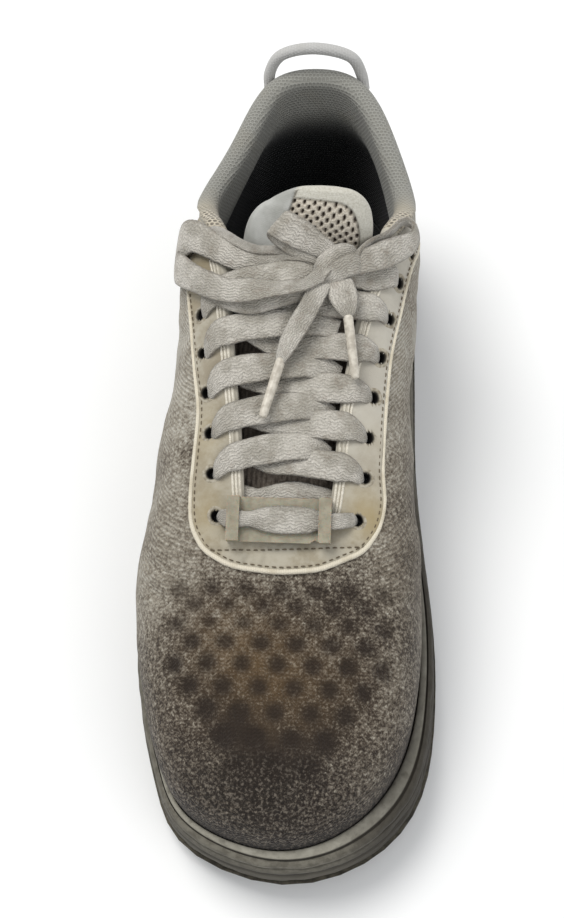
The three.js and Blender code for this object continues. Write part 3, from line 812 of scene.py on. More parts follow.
def gum_finish():
    """Cloudy moulded tag, yellowed and dirty in patches."""
    f = Finish("clouded_gum", Specular_IOR_Level=0.45, Subsurface_Weight=0.35, Subsurface_Scale=0.003, Coat_Weight=0.1)
    cloud = f.noise(0.25, 5.0, rough=0.6)
    grime = f.noise(1.1, 4.0)
    color = f.coats(f.mix(cloud.ramp(0.35, 0.65), "857f6c", "98927e"), (grime.ramp(0.55, 0.8) * 0.35, "5e5747"))
    return f.done(color, 0.45 + grime * 0.25, grime, depth=0.12)


def tip_finish():
    """Rolled plastic of a lace tip."""
    f = Finish("lace_tip", Specular_IOR_Level=0.5, Coat_Weight=0.2, Coat_Roughness=0.3)
    along = f.noise(0.5, 3.0)
    wrap = ((f.y * 0.9 + f.x * 0.7) / 1.7).wave()
    color = f.mix(along.ramp(0.35, 0.7), "cac3b5", "aaa294")
    return f.done(color, 0.42, wrap * 0.3 + along, depth=0.1)


def floor_finish():
    f = Finish("pale_floor", Specular_IOR_Level=0.2)
    cloud = f.noise(0.004, 3.0)
    return f.done(f.mix(cloud, "f4f4f3", "eeeeed"), 0.9)


KNIT, LINING, LACE, FOAM, RUBBER = upper_finish(), lining_finish(), lace_finish(), foam_finish(), tread_finish()
MESH, GUM, TIP = tongue_finish(), gum_finish(), tip_finish()
PIPE = plain_cloth("cream_piping", "d9d1be", "a0957f", 0.8, 0.12, "ab9f86")
LOOP = plain_cloth("loop_webbing", "bab9b6", "9a9894", 1.1, 0.2, "a8a6a0")
SOCK = plain_cloth("insole_cloth", "1a1d1d", "0b0c0c", 1.1, 0.2, "24231f")
DARK_THREAD = thread_finish("dark_thread", "6b604e", "43382b")
LIGHT_THREAD = thread_finish("light_thread", "dcd6c8", "a49b88")
HOLE = eyelet_finish()

# ---------------------------------------------------------------- upper

COLUMNS = 460
PIERCED = 2.55  # radius of the hole cut for an eyelet, hidden under its rim
UP_STEPS = np.concatenate([np.linspace(CUP, 0, 6, endpoint=False), np.linspace(0, 1, 141)])
ROLL_STEPS = np.linspace(0, np.pi, 11)[1:-1]
DOWN_STEPS = np.concatenate([1 - np.linspace(0, 1, 36) ** 1.3, [-0.1, CUP]])

# The smooth panel's outer line in plan, from its medial top end round the front to its lateral one.
PANEL_MEDIAL = (  # y, and how far out from the throat's edge
    (72, 3), (71, 7), (68, 11.5), (62, 14), (54, 14), (45, 14.5), (34, 14.8), (17, 14.2), (3, 15.3), (-8.5, 16),
    (-24, 16.5), (-34, 18), (-42, 18.4),
)
PANEL_FRONT = ((28, -49), (20, -54.6), (9, -58.2), (-2.5, -59.2), (-14, -58.6), (-24, -56), (-31, -50.5))  # in plan
PANEL_LATERAL = (
    (-43.5, 19.8), (-34, 18.3), (-22, 16.8), (-4, 14), (8, 14.2), (22, 15), (38, 17), (50, 18), (59, 17), (66, 13),
    (69.5, 8), (70.5, 3),
)
THROAT_RIDGES = ((0.5, 0.55, 1), (1.95, 0.42, 0.9), (3.1, 0.4, 0.8))  # from the edge, half width, height
DEEPEST = -1.6  # a deeper push would come through to the lining
SEAM = ((-30, -53.2), (-17, -52.6), (-4, -51.6), (8, -51.1), (19, -50.8), (27, -50.3))  # in front of the throat
# Worn-in creases: plan points, half width, depth (a ridge is negative).
CREASES = (
    (((-50, -62), (-46, -66), (-42, -69)), 2.6, 0.9),
    (((-52, -52), (-48, -56), (-43, -58)), 2.2, 0.7),
    (((48, -60), (44, -64), (40, -66)), 2.4, 0.8),
    (((47, -46), (43, -49), (39, -50)), 2.0, 0.6),
    (((-16, -59.5), (-15, -56), (-13, -53.5)), 0.9, 0.5),
    (((-9, -58), (-8, -55), (-8.5, -53)), 0.8, 0.4),
    (((6, -58), (7, -56), (6, -53.5)), 0.8, 0.35),
    (((-46, 30), (-42, 26), (-39, 24)), 2.2, 0.8),
    (((-47, 44), (-44, 40), (-41, 37)), 2.0, 0.8),
    (((44, 30), (41, 27), (38, 25)), 2.0, 0.7),
    (((43, 45), (41, 41), (38.5, 38)), 1.8, 0.7),
    (((-46, 60), (-43, 56), (-39, 57)), 2.4, 1.2),
    (((43, 66), (40.5, 61), (38.5, 58)), 2.2, 1.0),
)
# Marks: plan point, one reach or two across and along, strength.
STAINS = (  # ground-in dirt
    (-9, -114, 13, 0.36), (17, -112, 12, 0.28), (-4, -124, 11, 0.3), (-22, -134, 15, 0.2), (6, -138, 24, 0.22),
    (-3, -98, 24, 0.06), (14, -74, 20, 0.14), (28, -74, 16, 0.1), (-34, -120, 14, 0.12), (-46, -90, 16, 0.1),
    (38, -96, 14, -0.16), (40, -70, 14, -0.1), (-40, -68, 16, -0.1), (30, -126, 10, -0.1),
)
SMEARS = ((-15, -113, 6, 0.7), (-4, -123, 6, 0.8), (12, -116, 5, 0.35), (6, -124, 5, 0.35), (-24, -104, 5, 0.25))
RUST = (  # warm brown stains
    (-2, -94, 26.46, 20.49, 0.9), (-20, -81, 13.04, 0.6),
)
TEA = (  # yellowed patches of the panel
    (27, -40, 8, 9, 1), (-28, -42, 8, 10, 0.7), (-30, -14, 6, 9, 0.6), (30, -12, 5, 8, 0.4), (-37, 45, 6, 12, 0.5),
)


def dimple_spots():
    """The pits of the toe box: plan points and how deep each is pressed."""
    for row in range(9):
        y = -65.5 - 5.2 * row - 0.26 * row * row
        reach = 37 if row < 3 else 41 - 4.8 * (row - 3)
        for k in range(-4, 5):
            x = -2 + 12 * (k + 0.5 * (row % 2))
            if abs(x + 2) <= reach:
                yield x, y, 0.75 if row < 3 else 1.0


def marks(x, y, rows):
    """Soft round marks, added up."""
    return sum(
        strength * np.exp(-(((x - at_x) / reach[0]) ** 2 + ((y - at_y) / reach[-1]) ** 2))
        for at_x, at_y, *reach, strength in rows
    )


def laid(places, step=0.5):
    """A line on the upper through places of u and v: dense points, outward directions, and their places."""
    places = np.asarray(places, float)
    path = through(places, np.linspace(0, 1, 50 * (len(places) - 1) + 1))
    walked = walk(outside(path[:, 0], path[:, 1]))
    stops = np.linspace(0, walked[-1], int(walked[-1] / step) + 1)
    u, v = (np.interp(stops, walked, path[:, k]) for k in range(2))
    return outside(u, v), outward(u, v), u, v


def lifted(line, step=0.5):
    """A plan line laid on the upper."""
    t, _ = even_steps([(x, y, 0) for x, y in line], step)
    plan = through(np.array(line, float), t)
    u, v = under_plan(plan[:, 0], plan[:, 1])
    return outside(u, v), outward(u, v), u, v


def panel_places():
    """The panel's outline as places on the upper."""
    medial, lateral = (
        np.stack(stay_place(side, *np.array(rows, float).T), -1)
        for side, rows in ((1, PANEL_MEDIAL), (-1, PANEL_LATERAL))
    )
    front = np.stack(under_plan(*np.array(PANEL_FRONT, float).T), -1)
    return np.vstack([medial, front, lateral])


turns = np.arange(COLUMNS) * COUNT / COLUMNS
outer = outside(turns[None], UP_STEPS[:, None])
facing = outward(turns[None], UP_STEPS[:, None])
inner = inside(turns[None], DOWN_STEPS[:, None])
from_edge = np.cumsum(np.linalg.norm(np.diff(outer[::-1], axis=0), axis=2), axis=0)
from_edge = np.vstack([np.zeros((1, COLUMNS)), from_edge])[::-1]

panel_line, panel_up, panel_u, panel_v = laid(panel_places())
seam_line, seam_up, _, _ = lifted(SEAM)
clear = np.abs(seam_line[:, 0]) > 9.5  # the middle is carried straight across, past the throat's tight front
seam_x = seam_line[:, 0]
seam_line = np.stack([seam_x, *(np.interp(seam_x, seam_x[clear], seam_line[clear, k]) for k in (1, 2))], -1)


def field_of(line):
    """Each outer point's distance from a line, and the index of the line's nearest point."""
    distance, nearest = near_line(outer.reshape(-1, 3), line)
    return distance.reshape(outer.shape[:2]), nearest.reshape(outer.shape[:2])


def within(polygon, points):
    """Whether each plan point lies in a closed outline."""
    x, y = points[..., 0], points[..., 1]
    inside_it = np.zeros(x.shape, bool)
    for (ax, ay), (bx, by) in zip(polygon, np.roll(polygon, -1, 0)):
        crosses = (ay > y) != (by > y)
        inside_it ^= crosses & (x < (bx - ax) * (y - ay) / np.where(by == ay, 1e-9, by - ay) + ax)
    return inside_it


unrolled = np.stack(np.meshgrid(turns, UP_STEPS), -1)
outline = np.vstack([np.stack([panel_u, panel_v], -1), [[panel_u[-1], 1.4], [panel_u[0], 1.4]]])
off_panel, _ = field_of(panel_line)
panel_field = np.where(within(outline, unrolled), 1, -1) * off_panel
off_seam, _ = field_of(seam_line)
x, y, z = np.moveaxis(outer, -1, 0)
apron = (y < np.interp(x, seam_x, seam_line[:, 1])) & (panel_field > 0) & (y < -48)
on_panel = ramp(panel_field, -0.5, 0.5)
pits = np.zeros(x.shape)
dark_pits = marks(x, y, SMEARS) * (z > 36)
for px, py, press in dimple_spots():
    wide, long = (3.7, 2.9) if py > -85 else (3.5, 3.4)
    away = np.hypot((x - px) / wide, (y - py) / long) ** 2
    pits += press * np.exp(-(away**1.2)) * (z > 40)
    dark_pits += press * np.exp(-away * 0.9) * (z > 40)
soil = 0.5 + 0.17 * ramp(-y, 40, 110) - 0.24 * ramp(y, -30, 30) - 0.1 * ramp(-x - 1, 26, 46) * ramp(y, -120, -40)
soil += 0.12 * ramp(x, 24, 44) * ramp(-y, -20, 60) + 0.1 * ramp(-y, 112, 134)
soil += marks(x, y, STAINS)
soil += 0.3 * ramp(-z, -46, -30) * ramp(-y, -20, 100) + 0.1 * lumps(outer, 22, 5)
flank = ramp(y, -85, -50) * ramp(-z, -88, -70) * ramp(np.abs(x), 24, 34)
flank = np.maximum(flank, ramp(y, -20, 10)) * (1 - on_panel)
crease, fold = np.zeros(x.shape), np.zeros(x.shape)
for line, half, depth in CREASES:
    path = lifted(line, 0.8)[0]
    distance, nearest = field_of(path)
    ends = np.sin(np.pi * np.clip(nearest / (len(path) - 1), 0.04, 0.96)) ** 0.6
    fold += depth * (np.exp(-((distance / half) ** 2)) - 0.35 * np.exp(-((distance / half - 1.9) ** 2))) * ends
    crease += np.exp(-((distance / half * 1.6) ** 2)) * ends * min(1, depth)
throat = ramp(turns, 4.0, 4.8) * ramp(-turns, -18.0, -17.2)
straight = throat * ramp(y, -50, -44)
ridge_at = straight * sum(high * hump(from_edge, at, half) for at, half, high in THROAT_RIDGES)
rim_strip = ramp(-from_edge, -3.9, -3.5) * straight

# How far the outside is moved out: sag and lumps, pits, creases, ridges and the seam's groove.
upper_part = ramp(UP_STEPS, 0.05, 0.3)[:, None]
push = 0.25 * on_panel - 0.45 * (1 - on_panel) + 0.75 * lumps(outer, 34, 3) * upper_part * (1 - 0.7 * on_panel)
push += 0.22 * lumps(outer, 11, 8) * upper_part * (1 - 0.5 * on_panel)
push += -1.15 * pits - fold + 0.6 * ridge_at - 0.55 * hump(off_seam, 0, 0.7) * (on_panel > 0.5) - 0.15 * apron
push = np.maximum(push, DEEPEST) * ramp(UP_STEPS, -0.02, 0.04)[:, None]
outer_worn = outer + facing * push[..., None]

edge_out, edge_in = outer[-1], inner[0]
middle = (edge_out + edge_in) / 2
arm = edge_out - middle
top_way = unit(edge_out - outside(turns, 0.98))
size_of_arm = np.linalg.norm(arm, axis=1, keepdims=True)
rolled = np.stack([middle + arm * np.cos(a) + top_way * size_of_arm * np.sin(a) for a in ROLL_STEPS])
padded_part = ramp(DOWN_STEPS, 0.1, 0.4) * ramp(-DOWN_STEPS, -0.97, -0.7)
swell = np.minimum(lumps(inner, 20, 12), -0.1) * 0.48 * padded_part[:, None]
inner_worn = inner + outward(turns[None], DOWN_STEPS[:, None]) * swell[..., None]
# The collar's front corners, where coarse mesh rolls over the edge in soft folds.
coarse_at = hump(turns, 4.1, 0.6) + hump(turns, COUNT - 4.05, 0.6)
rolled += unit(arm + top_way * 2)[None] * (coarse_at * (1.0 + 0.5 * np.sin(turns * 17)))[None, :, None] * 0.8

wall_points = np.concatenate([outer_worn, rolled, inner_worn])
rows_out, rows_all = len(UP_STEPS), len(wall_points)


def on_wall(values, roll=0.0, within_it=0.0):
    """A field over the whole wall from its values on the outside."""
    full = np.zeros((rows_all, COLUMNS))
    full[:rows_out] = values
    full[rows_out : rows_out + len(ROLL_STEPS)] = roll
    full[rows_out + len(ROLL_STEPS) :] = within_it
    return full


heel = ramp(np.cos(turns / COUNT * TAU), 0.35, 0.75)
depth_in = np.concatenate([[0], np.cumsum(np.linalg.norm(np.diff(inner, axis=0), axis=2).mean(1))])
# How far painted shade (with a darker lining) has darkened the lining: it begins sooner on the flanks than at the heel.
deep = ramp(depth_in[:, None], 10 * heel, 15 + 37 * heel)
faces = grid_faces(rows_all, COLUMNS, closed=True)
row_of = faces[:, 0] // COLUMNS
lining_from = np.where(throat > 0.5, rows_out + len(ROLL_STEPS) - 2, rows_out - 1)
which = row_of >= lining_from[faces[:, 0] % COLUMNS]

eyelets = [hole_place(side, row) for row in range(EYELET_ROWS) for side in (-1, 1)]
flat_points = wall_points.reshape(-1, 3)
centres = flat_points[faces].mean(1)
pierced = np.zeros(len(faces), bool)
for at, up in eyelets:
    above = (centres - at) @ up
    across = np.linalg.norm(centres - at - np.outer(above, up), axis=1)
    pierced |= (across < PIERCED) & (np.abs(above) < 2) & (row_of < rows_out)

lined = ramp(heel, 1, 0)
piece(
    "upper_shell", flat_points, faces[~pierced], [KNIT, LINING], "knit", which=which[~pierced], replaces=["upper"],
    fields={
        "panel": on_wall(panel_field, 6, 6),
        "soil": on_wall(soil),
        "warm": on_wall(marks(x, y, RUST)),
        "pit": on_wall(np.minimum(dark_pits, 1)),
        "flank": on_wall(flank),
        "front": on_wall(ramp(-y, 112, 132)),
        "tea": on_wall(np.minimum(marks(x, y, TEA), 1)),
        "apron": on_wall(apron),
        "crease": on_wall(np.minimum(crease, 1)),
        "ridges": on_wall(np.minimum(ridge_at, 1), 0.6),
        "rim": on_wall(rim_strip, 0.4),
        "deep": on_wall(0, 0, deep),
        "coarse": on_wall(0, coarse_at, coarse_at * (1 - ramp(depth_in, 14, 26))[:, None]),
        "beige": on_wall(0, lined, lined),
    },
)


def tube(line, ups, radius, sides=10):
    """A round cord on a line: points and faces."""
    along = unit(np.gradient(line, axis=0))
    side = unit(np.cross(along, ups))
    thick = 2 * np.broadcast_to(radius, len(line))
    rings = swept(line, along, side, np.cross(side, along), radius, thick, sides=sides, power=1.0)
    return rings.reshape(-1, 3), capped(len(line), sides)


def knobbly(size, by, rate, count):
    """A cord's radius at each of its points, a little uneven."""
    return size * (1 + by * np.sin(np.arange(count) * rate))


half_of_piping = 0.72 + 0.22 * ramp(-panel_line[:, 1], 38, 56)
half_of_piping = knobbly(half_of_piping, 0.04, 0.9, len(panel_line))
piece("panel_piping", *tube(panel_line, panel_up, half_of_piping), [PIPE], "webbing")


# Dark stitches inside the piping and along the seam.
inside_piping = panel_line - 1.6 * np.cross(panel_up, unit(np.gradient(panel_line, axis=0)))
dark_rows = [(inside_piping + panel_up * 0.3, panel_up), (seam_line + seam_up * 0.05, seam_up)]
piece("panel_stitches", *threads(dark_rows), [DARK_THREAD], "webbing")

cord_rows = []
for side in (1, -1):
    for inset in (0.75, 2.0, 3.2):
        line, ups, _, _ = laid(np.stack(stay_place(side, np.linspace(-43, 47, 40), inset), -1), 0.7)
        cord_rows.append((*tube(line + ups * 0.25, ups, knobbly(0.5, 0.1, 1.7, len(line)), 8), {}))
piece("throat_cords", *merged(*cord_rows)[:2], [LIGHT_THREAD], "webbing")

# Rings of an eyelet's rim, from its outer edge down its hole: radius, height, how dark it is painted as shade.
RIM_RINGS = (
    (3.5, -0.1, 0), (3.1, 0.3, 0), (2.4, 0.36, 0.1), (1.85, 0.2, 0.85), (1.65, -0.8, 1), (1.4, -2.2, 1), (0.8, -3.0, 1),
)
RIM_SIDES = 20


def funnel(at, up, seed):
    """Worn eyelet: a low frayed rim that drops into a hole painted black as shade."""
    draw = np.random.default_rng(seed)
    a = around_ring(RIM_SIDES)
    one = unit(np.cross(up, (0, 1, 0.1)))
    two = np.cross(up, one)
    wobble = 1 + 0.05 * np.sin(2 * a + draw.uniform(0, TAU)) + 0.02 * np.sin(5 * a + draw.uniform(0, TAU))
    circle = (np.outer(np.cos(a), one) + np.outer(np.sin(a), two) * 1.1) * wobble[:, None]
    points = np.vstack([at + up * height + circle * radius for radius, height, _ in RIM_RINGS])
    bottom = list(range(len(points) - RIM_SIDES, len(points)))
    # how much painted shade blackens each ring
    dark = np.repeat([row[2] for row in RIM_RINGS], RIM_SIDES)
    return points, grid_faces(len(RIM_RINGS), RIM_SIDES).tolist() + [bottom], {"deep": dark}


rim_points, rim_faces, rim_fields = merged(*(funnel(at, up, i) for i, (at, up) in enumerate(eyelets)))
piece("eyelet_rims", rim_points, rim_faces, [HOLE], "lining", fields=rim_fields)

# ---------------------------------------------------------------- midsole, insole and tread

PROFILE = (  # share of the sidewall's height, inset from the sole's rim, painted shade of the groove
    (0, 0.9, 0), (0.04, 0.6, 0), (0.12, 0.35, 0), (0.25, 0.3, 0), (0.36, 0.35, 0), (0.42, 0.75, 0.5), (0.46, 0.95, 1),
    (0.5, 0.75, 0.5), (0.56, 0.5, 0), (0.66, 0.75, 0), (0.72, 1.0, 0), (0.755, 1.6, 0.6), (0.775, 1.9, 1),
    (0.795, 1.6, 0.6), (0.83, 1.1, 0), (0.88, 1.05, 0), (0.93, 1.25, 0), (0.97, 1.75, 0), (1.0, 2.6, 0),
)
LEDGE = (  # share of the way in from the brim to the upper, height, painted shade of the groove, pale lip
    (0.03, 0.15, 0, 0), (0.06, 0.15, 0.1, 0), (0.09, 0.05, 0.3, 0), (0.13, -0.45, 1, 0), (0.18, -0.6, 1, 0),
    (0.23, -0.3, 0.9, 0.2), (0.28, 0.45, 0, 1), (0.45, 0.75, 0, 1), (0.68, 0.85, 0, 1), (0.87, 0.75, 0, 1),
    (0.95, 0.5, 0, 1), (1.0, 0.1, 0.5, 0.6),
)
CUP_SHARES = (0.3, 0.65, 1.0)  # down the cup's inner wall, hidden behind the upper
SOLE_COLUMNS, SOLE_ROWS = 500, 55
around = np.arange(SOLE_COLUMNS) * COUNT / SOLE_COLUMNS
shares = np.interp(np.linspace(0, len(PROFILE) - 1, SOLE_ROWS), np.arange(len(PROFILE)), [p[0] for p in PROFILE])
insets = through(np.array([(p[1], p[2], 0.0) for p in PROFILE]), np.linspace(0, 1, SOLE_ROWS))


def sole_ring(inset, share):
    """The sidewall's ring at a share of its height."""
    plan = rim_at(around, inset)[0]
    bottom, rim = ground_height(plan[:, 1]) + TREAD + GAP, rim_height(plan[:, 1])
    return np.concatenate([plan, lerp(bottom, rim, share)[:, None]], 1)


rows = [sole_ring(inset, share) for share, inset in zip(shares, np.maximum(insets[:, 0], 0.25))]
foot, _ = foot_at(around, -GAP)
brim = rows[-1]
for t, up_by, _, _ in LEDGE:
    rows.append(np.concatenate([lerp(brim[:, :2], foot, t), brim[:, 2:] + up_by], 1))
for t in CUP_SHARES:
    rows.append(np.concatenate([foot, lerp(brim[:, 2:], floor_height(foot[:, 1])[:, None], t)], 1))
sole = np.stack(rows)
out_way = np.concatenate([rim_at(around)[1], np.zeros((SOLE_COLUMNS, 1))], 1)
bruise = (0.28 * lumps(sole, 9, 21) + 0.25 * lumps(sole, 26, 22)) * (np.arange(len(rows)) <= SOLE_ROWS)[:, None]
sole = sole + out_way[None] * np.minimum(bruise, 0.15)[..., None]


def by_ring(wall, ledge, cup):
    """A field over the sole from its values on each ring."""
    cup = np.full(len(CUP_SHARES), cup)
    return np.concatenate([wall, ledge, cup])[:, None] * np.ones((1, SOLE_COLUMNS))


share_of = by_ring(shares, np.ones(len(LEDGE)), 1.0)
# How much painted shade darkens each ring, strongest in the grooves.
groove = by_ring(np.clip(insets[:, 1], 0, 1), [row[2] for row in LEDGE], 1.0)
pale_lip = by_ring(np.zeros(SOLE_ROWS), [row[3] for row in LEDGE], 0.0)
# Painted shadow over brown dirt down the medial side, less on the pale lip.
medial_dirt_and_shadow = ramp(sole[..., 0], 14, 40) * ramp(-sole[..., 1], -40, 40) * (1 - 0.4 * pale_lip)
cap_faces = [[j, j + 1, SOLE_COLUMNS - j - 1, SOLE_COLUMNS - j] for j in range(1, SOLE_COLUMNS // 2 - 1)]
top = (len(rows) - 1) * SOLE_COLUMNS
piece(
    "midsole_wall", sole.reshape(-1, 3),
    grid_faces(len(rows), SOLE_COLUMNS).tolist() + cap_faces + [[top + k for k in f][::-1] for f in cap_faces],
    [FOAM], "foam", replaces=["midsole"],
    fields={"low": ramp(-share_of, -0.76, -0.5), "lip": pale_lip, "groove": groove, "shade": medial_dirt_and_shadow},
)

for node, finish in (("outsole", RUBBER), ("insole", SOCK), ("lace_tag", GUM)):
    for slot in bpy.data.objects[node].material_slots:
        slot.material = finish

# ---------------------------------------------------------------- tongue

TONGUE = (  # middle line from under the vamp up: x, y, z, the way the face looks, width, thickness, bow, lag
    (0, -58, 63.4, 0, -0.3, 1, 36, 5, 2.5, 0), (0, -38, 69, 0, -0.35, 1, 44, 6, 5, 0),
    (0, -15, 77.5, 0, -0.38, 1, 52, 6, 7.5, 0), (0, 9, 86.6, 0, -0.4, 1, 54, 6, 9, 0),
    (0.5, 28, 94, 0, -0.5, 1, 50, 6, 10, 0), (0.6, 41, 102.5, 0, -0.8, 1, 43, 6, 9, 2),
    (1.4, 51.5, 113.5, -0.1, -1, 0.9, 47, 6, 6, 2), (4, 59, 124, -0.16, -1, 0.7, 50, 6, 2, 1),
    (5, 62.2, 130, -0.18, -1, 0.6, 50, 3.6, 0, 0),
)
TONGUE_SIDES = 260
TOP_ROUND = ((-1, 30, 0.16), (1, 20, 0.16))  # side, how far down, share of the top left straight
APEX = 6.5  # how far off the middle the top's peak lies
SKEW = 0.15  # the top leans up towards the medial side
MESH_ACROSS, MESH_UP = 3.7, 1.85  # pitch of the mesh's holes, in staggered rows
SMOOTH_DOWN = (-34, -28)  # the smooth panel and its seam end this far down
spine = np.array(TONGUE, float)
# Coarse rows where the tongue is under the laces, fine ones above.
covered = 4 / (len(spine) - 1)
t_low, _ = even_steps(spine[:5, :3], 2.0)
t_all, walked_all = even_steps(spine[:, :3], 0.42)
t_rows = np.concatenate([t_low * covered, t_all[np.searchsorted(t_all, covered) + 1 :]])
walked = np.interp(t_rows, t_all, walked_all)
mid, look, size, bend = (through(spine[:, a:b], t_rows) for a, b in ((0, 3), (3, 6), (6, 8), (8, 10)))
along = unit(np.gradient(mid, axis=0))
side = unit(np.cross(along, look))
face_way = np.cross(side, along)
crown = ramp(walked_all[-1] - walked, 0, 1.2)
thick = size[:, 1] * (0.45 + 0.55 * crown)
pad = swept(mid, along, side, face_way, size[:, 0] / 2, thick, bend[:, 0], bend[:, 1], TONGUE_SIDES)
turn = around_ring(TONGUE_SIDES)
across = np.cos(turn)[None] * size[:, :1] / 2
up_it = np.repeat((walked - walked_all[-1])[:, None], TONGUE_SIDES, 1)
# The top is rounded off: a long slope down to the lateral side, a short one to the medial side.
from_apex = across - APEX
narrowed = np.ones(across.shape)
for sign, drop, flat in TOP_ROUND:
    share = flat + (1 - flat) * np.sqrt(1 - (1 - np.clip(-up_it / drop, 0, 1)) ** 2)
    narrowed = np.where(np.sign(from_apex) == sign, share, narrowed)
pad = pad + side[:, None] * (from_apex * (narrowed - 1))[..., None]
pad = pad + along[:, None] * (SKEW * from_apex * narrowed * ramp(up_it, -30, 0))[..., None]
half_wide = size[:, :1] / 2 - APEX * np.sign(from_apex)
across = APEX + from_apex * narrowed
limit = half_wide * narrowed
is_front = (np.sin(turn) > 0)[None] * ramp(limit - np.abs(across - APEX), 0.6, 2.2)
tongue_seam = -7.5 + 0.1 * (up_it + 20)
_, drop, flat = TOP_ROUND[1]
past_flat = np.clip(((across - APEX) / half_wide - flat) / (1 - flat), 0, 1)
top_here = -drop * (1 - np.sqrt(1 - past_flat**2))
down, in_from = np.maximum(top_here - up_it, 0.01), np.maximum(limit - (across - APEX), 0.01)
rim_distance = down * in_from / np.hypot(down, in_from)
smooth_side = ramp(tongue_seam - across, -0.25, 0.25) * ramp(up_it, *SMOOTH_DOWN)
band_wide = 4.8 - 0.09 * np.minimum(down, 22)
rim_band = ramp(band_wide - rim_distance, -0.15, 0.15) * (1 - smooth_side)
row_at = up_it / MESH_UP
near_row = np.round(row_at)
shifted = across / MESH_ACROSS + 0.5 * (near_row % 2)
hole_shape = np.hypot((shifted - np.round(shifted)) * MESH_ACROSS / 0.55, (row_at - near_row) * MESH_UP / 0.95)
hole = ramp(-hole_shape, -1.25, -0.7) * is_front * (1 - rim_band) * (1 - smooth_side)
band_seam = hump(rim_distance, band_wide, 0.35) * (across > tongue_seam)
seams = np.maximum(band_seam, hump(across, tongue_seam, 0.35) * ramp(up_it, *SMOOTH_DOWN)) * is_front
raised = is_front * (0.5 * (1 - rim_band) * (1 - hole * 3.2) + 0.15 * rim_band + 0.5 * lumps(pad, 24, 31))
pad = pad + face_way[:, None] * (raised - 0.45 * seams)[..., None]
piece(
    "tongue_pad", pad.reshape(-1, 3), capped(len(t_rows), TONGUE_SIDES), [MESH], "lining", replaces=["tongue"],
    fields={
        "hole": hole, "smooth": smooth_side, "binding": rim_band, "seam": np.minimum(seams, 1),
        # painted shade low on the tongue, where the laces cover it
        "grubby": ramp(-up_it, 36, 50),
    },
)

# ---------------------------------------------------------------- pull loop

LOOP_RADIUS = 2.25
FOOT_V = 0.94


def loop_foot(u):
    """A root of the loop, standing just off the upper."""
    return outside(u, FOOT_V) + outward(u, FOOT_V) * (2 + GAP)


loop_line = [
    loop_foot(COUNT - 0.84), (-17.4, 144.8, 98.5), (-12.6, 145.2, 107.2), (0.4, 145.2, 111), (14.6, 144.8, 107),
    (18.6, 144.4, 98.5), loop_foot(0.84),
]
t, walked = even_steps(loop_line, 0.5)
loop_mid = through(np.array(loop_line), t)
plait = LOOP_RADIUS * (1 + 0.02 * np.abs(np.sin(walked * np.pi / 1.6)))
loop_tube = tube(loop_mid, np.broadcast_to((0, 1, 0.01), loop_mid.shape), plait, 14)
piece("pull_loop_cord", *loop_tube, [LOOP], "webbing", replaces=["pull_loop"])

# ---------------------------------------------------------------- laces

THROAT_UP = (0, -0.33, 0.94)
LAST_LACED = 6  # the pair of eyelets above it is left open


def tongue_top(y_at):
    k = np.argmin(np.abs(mid[:, 1] - y_at))
    return mid[k, 2] + 3 / np.hypot(along[k, 0], along[k, 1])


def over(spot, lift):
    """The middle of a lace that lies on the upper, or lifted off it."""
    return spot[0] + spot[1] * (GAP + LACE_THICK / 2 + lift)


def down_the_hole(side, row):
    """Where a lace comes up out of its eyelet: two rows of its route."""
    hole_at, up = hole_place(side, row)
    inward = np.array([-side, 0, 0])
    return [
        [*(hole_at - up * 2.2 + inward * 1.1), 3.0, *(up * 0.4 - inward)],
        [*(hole_at + up * 0.5 + inward * 2.0), 4.8, *(up - inward * 0.6)],
    ]


# How far above its eyelet a strand lies: half way in, at the throat's edge, at the middle, at the far edge.
RISES = {
    (1, 1): (1.2, 2.6, 4.6, 7.8), (1, 2): (0.8, 2.0, 3.8, 7.0), (1, 3): (0.3, 0.9, 2.2, 6.0),
    (-1, 1): (2.6, 5.2, 8.8, 7.6), (-1, 2): (2.0, 4.6, 8.2, 7.2), (-1, 3): (2.6, 5.4, 8.4, 7.0),
}


def lace_half(row, side):
    """Half of a crossing: out of an eyelet, across the throat, and in under the far side."""
    at_half, at_brink, at_middle, at_far = RISES[side, min(row, 3)]
    halfway = eyestay(side, row_y(row) + at_half, EYELET_INSET * 0.58)
    brink = eyestay(side, row_y(row) + at_brink, 1.5)
    y_at = row_y(row) + at_middle
    far = eyestay(-side, row_y(row) + at_far, 0)[0]
    level = max((brink[0][2] + far[2]) / 2, tongue_top(y_at + LACE_WIDTH / 2) + 1.9)
    on_top = 2.4 if side < 0 else -0.1
    tile = (0, -0.27, 0.96)
    high = row > 3
    under = (far[0] + side * (7 if high else 3.4), far[1], far[2] + (0.5 if high else -2.6))
    return [
        *down_the_hole(side, row),
        [*over(halfway, 0.3), LACE_WIDTH * 0.8, *halfway[1]],
        [*over(brink, 0.6), LACE_WIDTH * 1.14, *brink[1]],
        [side * 4, y_at - 0.6, level + on_top, LACE_WIDTH * 1.14, *tile],
        [-side * 6, y_at + 0.3, level + on_top - 0.9, LACE_WIDTH * 1.08, *tile],
        [*under, LACE_WIDTH * 0.8, *THROAT_UP],
    ]


def laced(name, strips, node, seed):
    """A piece of one or two strips of lace."""
    parts = [ribbon(rows, seed + 7 * k)[:3] for k, rows in enumerate(strips)]
    points, faces, fields = merged(*parts)
    return piece(name, points, faces, [LACE], "lace", fields=fields, replaces=[node])


for row in range(1, LAST_LACED):
    laced(f"lace_row_{row}", [lace_half(row, 1), lace_half(row, -1)], f"lace_cross_{row}", 40 + row)


